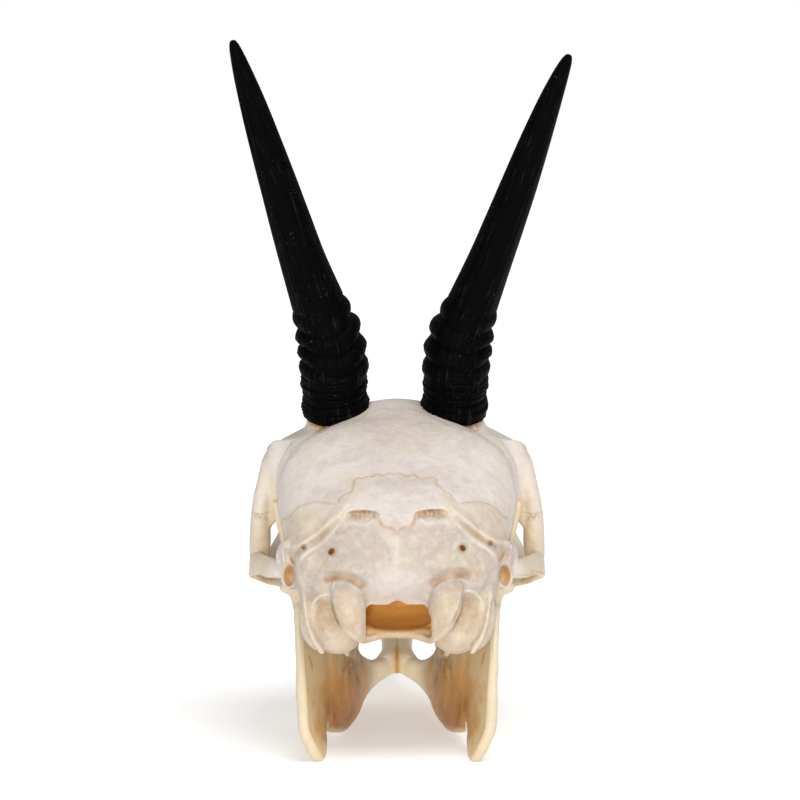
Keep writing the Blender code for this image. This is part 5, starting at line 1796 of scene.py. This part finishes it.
def lay_sutures(paint):
    """Lay the sutures of the back, the face and the brow on the bone, each jagged by its own seed."""
    surface = paint.surface
    seed = FIRST_SEAM_SEED
    for pixels, jag, strength in REAR_SUTURES:
        for half in (pixels, other_side(pixels)):
            paint.seam(surface.laid(surface.seen(half), 0.55, jag, seed), strength)
            seed += 1
    for side in (-1, 1):
        for line, jag, strength in FACE_SUTURES:
            paint.seam(surface.laid(mirrored(line, side), 0.7, jag, seed), strength)
            seed += 1
    paint.seam(surface.laid(INTERFRONTAL, 0.7, 0.45, BROW_SEAM_SEED), 0.8)


def paint_cranium(surface):
    """Tones and sutures of the cranium, from the broadest tones to the finest."""
    paint = Paint(surface, IVORY)
    opened = averaged(openness(surface), paint.edges, 3)
    spots = folded(surface.pixels())
    behind = zone(surface.points, FAR_BEHIND)
    paint_ground(paint, opened)
    paint_occiput(paint, spots, behind)
    paint_pits(paint, spots, behind)
    paint_cheeks(paint, spots, opened)
    paint_clouds(paint)
    paint_openings(paint, spots, opened, behind)
    lay_sutures(paint)
    paint.store()
    return paint


def sculpt_mandible(surface, side):
    """Run the inner face of the ramus smoothly into the jaw's body, and groove the symphysis."""
    inner = step(-0.1, 0.3, -side * surface.normals[:, 0])
    eased = zone(surface.points, JAW_INSIDE) * (1 - zone(surface.points, JAW_TOOTH_ROW))
    surface.ease(JAW_ROUNDS, inner * eased)
    x, y, z = surface.points.T
    outer = step(0.1, 0.4, side * surface.normals[:, 0])
    fossa = bell(y, *JAW_FOSSA[0]) * bell(z, *JAW_FOSSA[1])
    lean, middle = JAW_BROW_LEAN
    brow = bell(y + lean * (z - middle), *JAW_BROW[0]) * within(z, *JAW_BROW[1])
    low = within(y, *JAW_SWELLING[0]) * bell(z, *JAW_SWELLING[1])
    wave = clouds(surface.points, JAW_WAVE, octaves=3)
    forms = sum(height * form for height, form in zip(JAW_FORM_HEIGHTS, (fossa, brow, low, wave)))
    surface.points[:, 0] += side * outer * forms
    for place, radius, depth in JAW_HOLES:
        surface.swell(on_side(place, side), (radius, radius * 1.6, radius), -depth)
    groove = bell(x, 0.0, GROOVE_WIDTH) * step(-0.2, 0.2, -surface.normals[:, 1]) * step(*GROOVE_END, y)
    surface.points[:, 1] += GROOVE_DEPTH * groove
    surface.settle()


def paint_mandible(surface, side):
    """Tones of one half of the lower jaw: golden brown within, stained, with pale edges; painted light and
    shade.
    """
    paint = Paint(surface, CREAM)
    x, y, z = surface.points.T
    small = paint.hollows(*SMALL_HOLLOWS)
    spots = folded(surface.pixels())
    u, v = spots.T
    inner = step(0.0, 0.35, -side * surface.normals[:, 0]) * step(112.0, 100.0, y)
    front = step(104.0, 112.0, y) * step(0.0, 0.4, -surface.normals[:, 1]) * step(150.0, 120.0, y)
    outer = (1 - inner) * (1 - front)
    blot = seen_clouds(spots, *BLOTS)
    rust = seen_clouds(spots, *RUST)
    paint.tint(JAW_EDGE, 0.9 * inner)
    edge = step(*JAW_GOLD_ACROSS, u + 14 * blot) * step(*JAW_GOLD_DOWN, v + 20 * blot)
    paint.tint(JAW_GOLD, 0.9 * inner * edge)
    core = step(*JAW_BROWN_ACROSS, u + 16 * blot) * step(*JAW_BROWN_DOWN, v + 20 * rust)
    core *= step(*JAW_BROWN_END, v)
    paint.tint(JAW_BROWN, 0.95 * inner * core)
    paint.tint(JAW_GOLD, 0.35 * inner * step(0.05, 0.4, rust))
    low = bell(u + 10 * blot, *JAW_DARK_ACROSS) * bell(v + 14 * rust, *JAW_DARK_DOWN)
    paint.tint(JAW_DARK, 0.95 * inner * low)
    paint.tint(STAIN, 0.35 * inner * low * step(-0.1, 0.4, rust))
    paint.lay(JAW_GOLD, 0.9, JAW_REAR, step(*LOBE_GOLD_DOWN, v + 8 * blot))
    paint.lay(JAW_BROWN, 0.35, JAW_REAR, step(*LOBE_BROWN_DOWN, v + 8 * blot))
    # Painted light: the back of the symphysis brightened where the cranium keeps the lamps off it
    paint.tint(COLUMN_LIT, 0.9 * front)
    paint.tint(JAW_GOLD, 0.4 * front * step(*COLUMN_GOLD_DOWN, v))
    stain = within(u, *STAIN_ACROSS) * step(*STAIN_DOWN, v)
    paint.tint(STAIN, 0.85 * inner * stain * step(-0.3, 0.35, rust))
    groove = crest_line(spots, JAW_GROOVE, 1.6, 1.6, 0.9)
    paint.tint(AMBER, groove * inner * step(40.0, 30.0, y))
    broad = paint.cloud(*JAW_BROAD_CLOUD)
    fine = paint.cloud(*JAW_FINE_CLOUD)
    paint.tint(WARM, 0.5 * outer * step(-0.1, 0.4, broad))
    paint.tint(IVORY, 0.5 * outer * step(0.0, 0.5, -broad))
    paint.tint(TAN, 0.45 * outer * step(10.0, 2.0, z) * step(-0.2, 0.3, fine + broad))
    paint.tint(CREAM_GOLD, 0.75 * step(44.0, 52.0, z))
    # Painted shade in the small holes of the jaw
    for place, radius, _ in JAW_HOLES:
        paint.spot(on_side(place, side), (radius, radius * 1.5, radius), HOLLOW_SHADE, 0.9)
    paint.lay(CREAM_GOLD, 0.9, SYMPHYSIS, bell(x, 0.0, 1.8))
    paint.lay(AMBER, 0.9, SYMPHYSIS, bell(x, 0.0, 0.8) * step(-0.4, 0.1, blot))
    paint.tint(TAN, 0.4 * step(0.15, 1.2, small) * outer)
    paint.tint(JAW_EDGE, 0.6 * step(0.2, 1.2, -small))
    paint.store()
    return paint


class Look:
    """A material, with short calls for the nodes that its looks need, in object space."""

    def __init__(self, name):
        self.material = bpy.data.materials.new(name)
        self.material.use_nodes = True
        self.nodes = self.material.node_tree.nodes
        self.links = self.material.node_tree.links
        self.shader = self.nodes["Principled BSDF"]
        self.place = self.nodes.new("ShaderNodeTexCoord").outputs["Object"]

    def put(self, socket, value):
        """Set a socket to a number or a colour, or link another socket to it."""
        if isinstance(value, (int, float, tuple)):
            socket.default_value = value
        else:
            self.links.new(value, socket)

    def finish(self, values):
        """Set the shader's own sockets and give the material."""
        for name, value in values.items():
            self.put(self.shader.inputs[name], value)
        return self.material

    def kept(self, name, output):
        """A value kept in the mesh under a name."""
        node = self.nodes.new("ShaderNodeAttribute")
        node.attribute_name = name
        return node.outputs[output]

    def noise(self, scale, detail, source=None):
        """A noise texture, in object space unless it has another source."""
        node = self.nodes.new("ShaderNodeTexNoise")
        node.inputs["Scale"].default_value = scale
        node.inputs["Detail"].default_value = detail
        node.inputs["Roughness"].default_value = NOISE_ROUGHNESS
        self.links.new(self.place if source is None else source, node.inputs["Vector"])
        return node.outputs["Fac"]

    def ranged(self, value, low, high, to_low, to_high):
        """A value carried from one range to another, smooth and held at its ends."""
        node = self.nodes.new("ShaderNodeMapRange")
        node.interpolation_type = "SMOOTHSTEP"
        for name, end in (("From Min", low), ("From Max", high), ("To Min", to_low), ("To Max", to_high)):
            node.inputs[name].default_value = end
        self.links.new(value, node.inputs["Value"])
        return node.outputs["Result"]

    def maths(self, operation, first, second=0.0):
        """One sum on one or two values, each a socket or a number."""
        node = self.nodes.new("ShaderNodeMath")
        node.operation = operation
        self.put(node.inputs[0], first)
        self.put(node.inputs[1], second)
        return node.outputs["Value"]

    def mixed(self, share, first, second, blend="MIX"):
        """One colour blended into another by a share; each is a socket or a colour."""
        node = self.nodes.new("ShaderNodeMix")
        node.data_type = "RGBA"
        node.blend_type = blend
        colours = [socket for socket in node.inputs if socket.type == "RGBA"]
        for socket, value in zip([node.inputs[0], *colours], (share, first, second)):
            self.put(socket, value)
        return [socket for socket in node.outputs if socket.type == "RGBA"][0]

    def bumped(self, height, strength, distance):
        """The normal of a fine relief, its distance in metres."""
        node = self.nodes.new("ShaderNodeBump")
        node.inputs["Strength"].default_value = strength
        node.inputs["Distance"].default_value = distance
        self.links.new(height, node.inputs["Height"])
        return node.outputs["Normal"]


def bone_material(name, base_rough):
    """Dry bone: painted tones with fine mottling, pores, grain and brown suture lines."""
    look = Look(name)
    seam = look.nodes.new("ShaderNodeSeparateXYZ")
    look.links.new(look.kept("seam", "Vector"), seam.inputs["Vector"])
    broad, fine, grain = (look.noise(*noise_row) for noise_row in BONE_NOISES)
    colour = look.kept("tone", "Color")
    colour = look.mixed(look.ranged(broad, *BROAD_MOTTLING), colour, MOTTLE, "MULTIPLY")
    colour = look.mixed(look.ranged(fine, *FINE_MOTTLING), colour, FINE_MOTTLE, "MULTIPLY")
    wander = look.maths("MULTIPLY", look.maths("SUBTRACT", fine, 0.5), SEAM_WANDER)
    away = look.maths("ABSOLUTE", look.maths("ADD", seam.outputs["X"], wander))
    strength = look.maths("MULTIPLY", seam.outputs["Y"], look.ranged(broad, *SEAM_BREAKS))
    line = look.maths("MULTIPLY", look.ranged(away, *SEAM_LINE), strength)
    halo = look.maths("MULTIPLY", look.ranged(away, *SEAM_HALO), strength)
    colour = look.mixed(halo, colour, SEAM_TONE)
    colour = look.mixed(look.maths("MULTIPLY", line, SEAM_SHARE), colour, SEAM_TONE)
    rough, smooth = (look.maths("MULTIPLY", *pair) for pair in zip((fine, grain), BONE_RELIEF_SHARES))
    height = look.maths("ADD", rough, smooth)
    height = look.maths("SUBTRACT", height, look.maths("MULTIPLY", line, SEAM_DEPTH))
    return look.finish({
        "Base Color": colour,
        "Roughness": look.ranged(fine, 0.3, 0.7, base_rough - 0.06, base_rough + 0.12),
        "Normal": look.bumped(height, *BONE_BUMP),
        "Subsurface Weight": 0.12,
        "Subsurface Radius": (0.0022, 0.0014, 0.0008),
        "Subsurface Scale": 1.0,
        "Specular IOR Level": 0.35,
    })


def horn_material():
    """Near-black horn: satin, with brown specks and fine lengthwise streaks."""
    look = Look("horn_sheath")
    lines = look.noise(*HORN_STREAK_NOISE, look.kept("streak", "Vector"))
    fine, broad = (look.noise(*noise_row) for noise_row in HORN_NOISES)
    colour = look.mixed(look.ranged(lines, *HORN_STREAKING), HORN_BLACK, HORN_STREAK)
    specks = look.maths("MULTIPLY", look.ranged(fine, *HORN_SPECKLING[0]),
                        look.ranged(broad, *HORN_SPECKLING[1]))
    return look.finish({
        "Base Color": look.mixed(specks, colour, HORN_SPECK),
        "Roughness": look.ranged(lines, *HORN_ROUGHNESS),
        "Normal": look.bumped(look.maths("ADD", lines, fine), *HORN_BUMP),
        "Specular IOR Level": 0.03,
    })


def tooth_material():
    """Enamel, cream with brown in its valleys."""
    look = Look("enamel")
    stains, fine = (look.noise(*noise_row) for noise_row in TOOTH_NOISES)
    stained = look.ranged(stains, *TOOTH_STAINING)
    return look.finish({
        "Base Color": look.mixed(stained, look.kept("tone", "Color"), ENAMEL_STAIN, "MULTIPLY"),
        "Roughness": 0.28,
        "Normal": look.bumped(fine, *TOOTH_BUMP),
    })


def horn_relief(height, angle, side, length, draw):
    """Rings, growth lines and flutes of a sheath, in millimetres off its plain cone."""
    relief = np.zeros_like(height)
    outward = -side * np.cos(angle)
    toward = np.maximum(0, -np.sin(angle))
    wobble = 0.4 * np.sin(angle * 2 + 1.3 * side) + 0.25 * np.sin(angle * 3 + 0.7)
    run = height + RING_SWEEP * toward ** 2 + RING_DROP * np.maximum(0, -outward) + wobble
    lateral = 0.25 + 0.75 * np.abs(outward) ** 1.3
    for index, size in enumerate(RING_SIZES):
        away = (run - FIRST_RING - 0.25 * side - RING_PITCH * index) / RING_PITCH
        ring = np.abs(away) < 0.5
        bump = np.cos(math.pi * np.where(ring, away, 0.5))
        relief += size * lateral * np.where(ring, 1.7 * np.abs(bump) ** 0.8 - 0.55, 0.0)
    coarse, fine = (2 * math.pi / pitch for pitch in GROWTH_PITCHES)
    growth = np.sin(coarse * (height + 0.5 * wobble)) + 0.7 * np.sin(fine * height + angle)
    relief += 0.13 * growth * step(16.0, 6.0, height) + 0.05 * growth * step(36.0, 16.0, height)
    for size, middle, reach in FOOT_SWELLINGS:
        relief += size * bell(height, middle, reach)
    relief -= 0.7 * step(1.6, 0.0, height)
    for _ in range(FLUTES):
        turns = draw.integers(*FLUTE_TURNS)
        relief += draw.normal(0, FLUTE_SIZE) * np.sin(turns * angle + draw.uniform(0, 6.3) + 0.02 * height)
    return relief * step(length, length - SMOOTH_TIP, height)


def fine_horn(name, side):
    """A horn sheath with its rings, growth lines and lengthwise flutes, its foot's edge a little ragged."""
    rows = smooth_rows(horn_axis(side), HORN_SPANS)
    foot, along = horn_foot(side)
    run = np.concatenate([[0.0], np.cumsum(np.linalg.norm(np.diff(rows[:, :3], axis=0), axis=1))])
    turn = around(HORN_SIDES)
    height, angle = np.meshgrid(run, turn, indexing="ij")
    relief = horn_relief(height, angle, side, run[-1], np.random.default_rng(HORN_SEEDS[side]))
    ragged = np.maximum(0, 0.35 * np.sin(3 * turn + side) + 0.2 * np.sin(7 * turn))
    rings = []
    for index, row in enumerate(rows):
        ahead = rows[min(index + 1, len(rows) - 1), :3] - rows[max(index - 1, 0), :3]
        direction = along if index < FOOT_ROWS else unit(ahead)
        across = unit(np.cross(direction, (0, 1, 0)))
        back = np.cross(across, direction)
        radius = row[3] + relief[index]
        lift = GAP * max(0.0, 1 - run[index] / FOOT_GAP_RISE)
        lift += ragged * max(0.0, 1 - run[index] / RAGGED_RISE)
        rings.append(row[:3] + direction * lift[:, None] + across * (radius * np.cos(turn))[:, None]
                     + back * (radius * HORN_DEPTH * np.sin(turn))[:, None])
    return skin_rings(name, rings), rows, run


def streak_horn(horn, rows, run):
    """Note for each point of a sheath where it lies round and along it, for its streaks."""
    points = mesh_points(horn)
    tree = point_tree(rows[:, :3])
    where = np.zeros((len(points), 3))
    for index, place in enumerate(points):
        _, nearest, _ = tree.find(place)
        off = place - rows[nearest, :3]
        flat = math.atan2(off[1], off[0])
        where[index] = (7 * math.cos(flat), 7 * math.sin(flat), run[nearest] * 0.12)
    note_vectors(horn.data, "streak", where)


def fine_tooth(name, place, size, lobes, root, crown, side, draw):
    """A cheek tooth: lobed walls with ribs, worn crescents on top and a valley between them."""
    length, width = size
    down = 1 if crown > root else -1
    turn = around(TOOTH_SIDES)
    lobe = np.abs(np.sin(math.pi * lobes * (np.sin(turn) + 1) / 2))
    waist = 1 - 1.5 * TOOTH_WAIST * (1 - lobe)
    rib = 1 + 0.03 * np.cos(2 * math.pi * lobes * (np.sin(turn) + 1)) * np.abs(np.cos(turn))
    lean = draw.uniform(-TOOTH_LEAN, TOOTH_LEAN)
    cusp = (0.9 * lobe - 0.3) * np.abs(np.cos(turn)) ** 0.6
    levels = [(root + (crown - root) * rise, girth, 0.0) for rise, girth in TOOTH_NECK]
    levels += [(crown - down * drop, girth, cusped) for drop, girth, cusped in TOOTH_TOP]
    rings = []
    for height, girth, cusped in levels:
        x = place[0] + side * width / 2 * girth * waist * rib * np.cos(turn)
        y = place[1] + length / 2 * girth * np.sin(turn) + lean * (height - crown) / 10
        z = height + down * (cusped * CUSP_HEIGHT * cusp - CUSP_HEIGHT * 0.6)
        rings.append(np.stack([x, y, np.broadcast_to(z, x.shape)], axis=1))
    return skin_rings(name, rings)


def tooth_row(name, side, jaw):
    """A row of cheek teeth as one object."""
    draw = np.random.default_rng(TOOTH_SEEDS[jaw])
    upper = jaw == "upper"
    teeth = []
    for tooth, length, width, lobes, x, y in UPPER_TEETH if upper else LOWER_TEETH:
        crown = bite(y) if upper else bite(y) - BITE_GAP
        root = crown + ROOT_DEPTH if upper else crown - ROOT_DEPTH
        teeth.append(fine_tooth(tooth, (side * x, y), (length, width), lobes, root, crown, side, draw))
    return joined(name, teeth)


def joined(name, pieces):
    """Several objects as one."""
    shape = bmesh.new()
    for piece in pieces:
        shape.from_mesh(piece.data)
        bpy.data.objects.remove(piece, do_unlink=True)
    return from_shape(name, shape)


def paint_teeth(obj):
    """Tones of teeth: pale walls, brown valleys and necks."""
    points = mesh_points(obj)
    rise = np.einsum("ij,ij->i", averaged(points, mesh_edges(obj), 4) - points, mesh_normals(obj))
    share = step(0.0, 0.12, rise)[:, None]
    note_tones(obj.data, ENAMEL * (1 - share) + TOOTH_NECK_TONE * share)


def part_cranium(cranium):
    """Part the cranium along its open sutures; the pieces keep their faces against each other."""
    bones = (("cheek_bone", cheek_region), ("premaxilla", premaxilla_region), ("nasal", nasal_region))
    regions = [(f"{bone}_{word}", region, side) for word, side in SIDES for bone, region in bones]
    pieces = {}
    for name, region, side in regions:
        pieces[name] = linked(name, cranium.data.copy())
        combine(pieces[name], [region(side)], "INTERSECT")
        keep_largest(pieces[name])
    for _, region, side in regions:
        combine(cranium, [region(side)], "DIFFERENCE")
    keep_largest(cranium)
    pieces["cranium"] = cranium
    return pieces


def tone_cuts(piece, paint):
    """Give the points that a cut made the tones of the bone beside them, a little browner."""
    mesh = piece.data
    tones = read_values(mesh.attributes["tone"].data, "color", 4)[:, :3]
    seams = read_values(mesh.attributes["seam"].data, "vector", 3)
    tree = point_tree(paint.surface.points)
    points = mesh_points(piece)
    for index in np.flatnonzero(np.all(tones > 0.97, axis=1) | np.all(tones < 0.002, axis=1)):
        _, nearest, _ = tree.find(points[index])
        tones[index] = paint.tones[nearest] * CUT_TONE
        seams[index] = paint.seams[nearest]
    note_tones(mesh, tones)
    note_vectors(mesh, "seam", seams)


def build_stage():
    """A plain pale floor, soft light and the camera taken for the photograph."""
    scene = bpy.context.scene
    floor = block("floor", (-FLOOR_REACH, -FLOOR_REACH, -FLOOR_DEPTH), (FLOOR_REACH, FLOOR_REACH, 0.0))
    floor.location.z = -FLOOR_DROP
    floor.data.materials.append(Look("floor").finish({
        "Base Color": (FLOOR_TONE, FLOOR_TONE, FLOOR_TONE, 1.0),
        "Roughness": 0.85,
        "Emission Color": (1.0, 1.0, 1.0, 1.0),
        "Emission Strength": FLOOR_GLOW,
        "Specular IOR Level": 0.1,
    }))
    scene.world = bpy.data.worlds.new("studio")
    scene.world.use_nodes = True
    nodes = scene.world.node_tree.nodes
    links = scene.world.node_tree.links
    back = nodes["Background"]
    back.inputs["Color"].default_value = (1.0, 1.0, 1.0, 1.0)
    rays = nodes.new("ShaderNodeLightPath")
    strength = nodes.new("ShaderNodeMapRange")
    strength.inputs["To Min"].default_value = AMBIENT
    strength.inputs["To Max"].default_value = 1.0
    links.new(rays.outputs["Is Camera Ray"], strength.inputs["Value"])
    links.new(strength.outputs["Result"], back.inputs["Strength"])
    for name, power, softness, toward in LIGHTS:
        light = bpy.data.lights.new(name, "SUN")
        light.energy = power
        light.angle = math.radians(softness)
        lamp = linked(name, light)
        lamp.rotation_euler = Vector(toward).to_track_quat("Z", "Y").to_euler()
    camera = linked("camera", bpy.data.cameras.new("camera"))
    rows = [(RIGHT[k], UP[k], -FORWARD[k], EYE[k] * MM + SHIFT[k]) for k in range(3)]
    camera.matrix_world = Matrix((*rows, (0, 0, 0, 1)))
    camera.data.sensor_width = SENSOR_WIDTH
    camera.data.lens = CAMERA_FOCAL * SENSOR_WIDTH / FRAME_SIZE
    camera.data.shift_x = (FRAME_SIZE / 2 - MIDLINE) / FRAME_SIZE
    camera.data.clip_start = 0.01
    camera.data.clip_end = 200.0
    scene.camera = camera
    scene.view_settings.view_transform = "Standard"


def dress(piece, material, nodes=()):
    """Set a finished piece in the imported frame, in place of the nodes it stands for."""
    piece.data.materials.clear()
    piece.data.materials.append(material)
    piece.data.shade_smooth()
    piece.data.set_sharp_from_angle(angle=math.radians(SHARP_ANGLE))
    piece.data.transform(Matrix.Translation(SHIFT))
    if nodes:
        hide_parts(*nodes)
    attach(piece, "root")


def build_cranium(bone):
    """The cranium, sculpted and painted whole and then parted into its bones."""
    cranium = fine_cranium()
    surface = Surface(cranium)
    sculpt_cranium(surface)
    paint = paint_cranium(surface)
    for node, piece in part_cranium(cranium).items():
        piece.name = f"fine_{node}"
        tone_cuts(piece, paint)
        dress(piece, bone, [node])


def build_jaw(word, side, jaw_bone):
    """One half of the lower jaw, cut flat on the floor and along the median plane."""
    jaw = fine_mandible(side)
    jaw.name = f"fine_mandible_{word}"
    surface = Surface(jaw)
    sculpt_mandible(surface, side)
    paint = paint_mandible(surface, side)
    near, far = sorted((0.0, -side * 60.0))
    combine(jaw, [block("floor_cut", (-60.0, -20.0, -20.0), (60.0, 220.0, 0.0)),
                  block("median_plane", (near, 100.0, -10.0), (far, 220.0, 60.0))], "DIFFERENCE")
    keep_largest(jaw)
    tone_cuts(jaw, paint)
    dress(jaw, jaw_bone, [f"mandible_{word}"])


def main():
    """Build the stage, then the bones, the teeth and the horn sheaths."""
    build_stage()
    bone = bone_material("dry_bone", 0.5)
    jaw_bone = bone_material("jaw_bone", 0.46)
    enamel = tooth_material()
    horn = horn_material()
    build_cranium(bone)
    for word, side in SIDES:
        build_jaw(word, side, jaw_bone)
        for jaw, slot in (("upper", "bone"), ("lower", "jaw_bone")):
            teeth = tooth_row(f"{jaw}_teeth_{word}", side, jaw)
            paint_teeth(teeth)
            dress(teeth, enamel)
        front = joined(f"incisors_{word}", incisors(side))
        paint_teeth(front)
        dress(front, enamel)
        sheath, rows, run = fine_horn(f"sheath_{word}", side)
        streak_horn(sheath, rows, run)
        dress(sheath, horn, [f"horn_{word}"])


main()
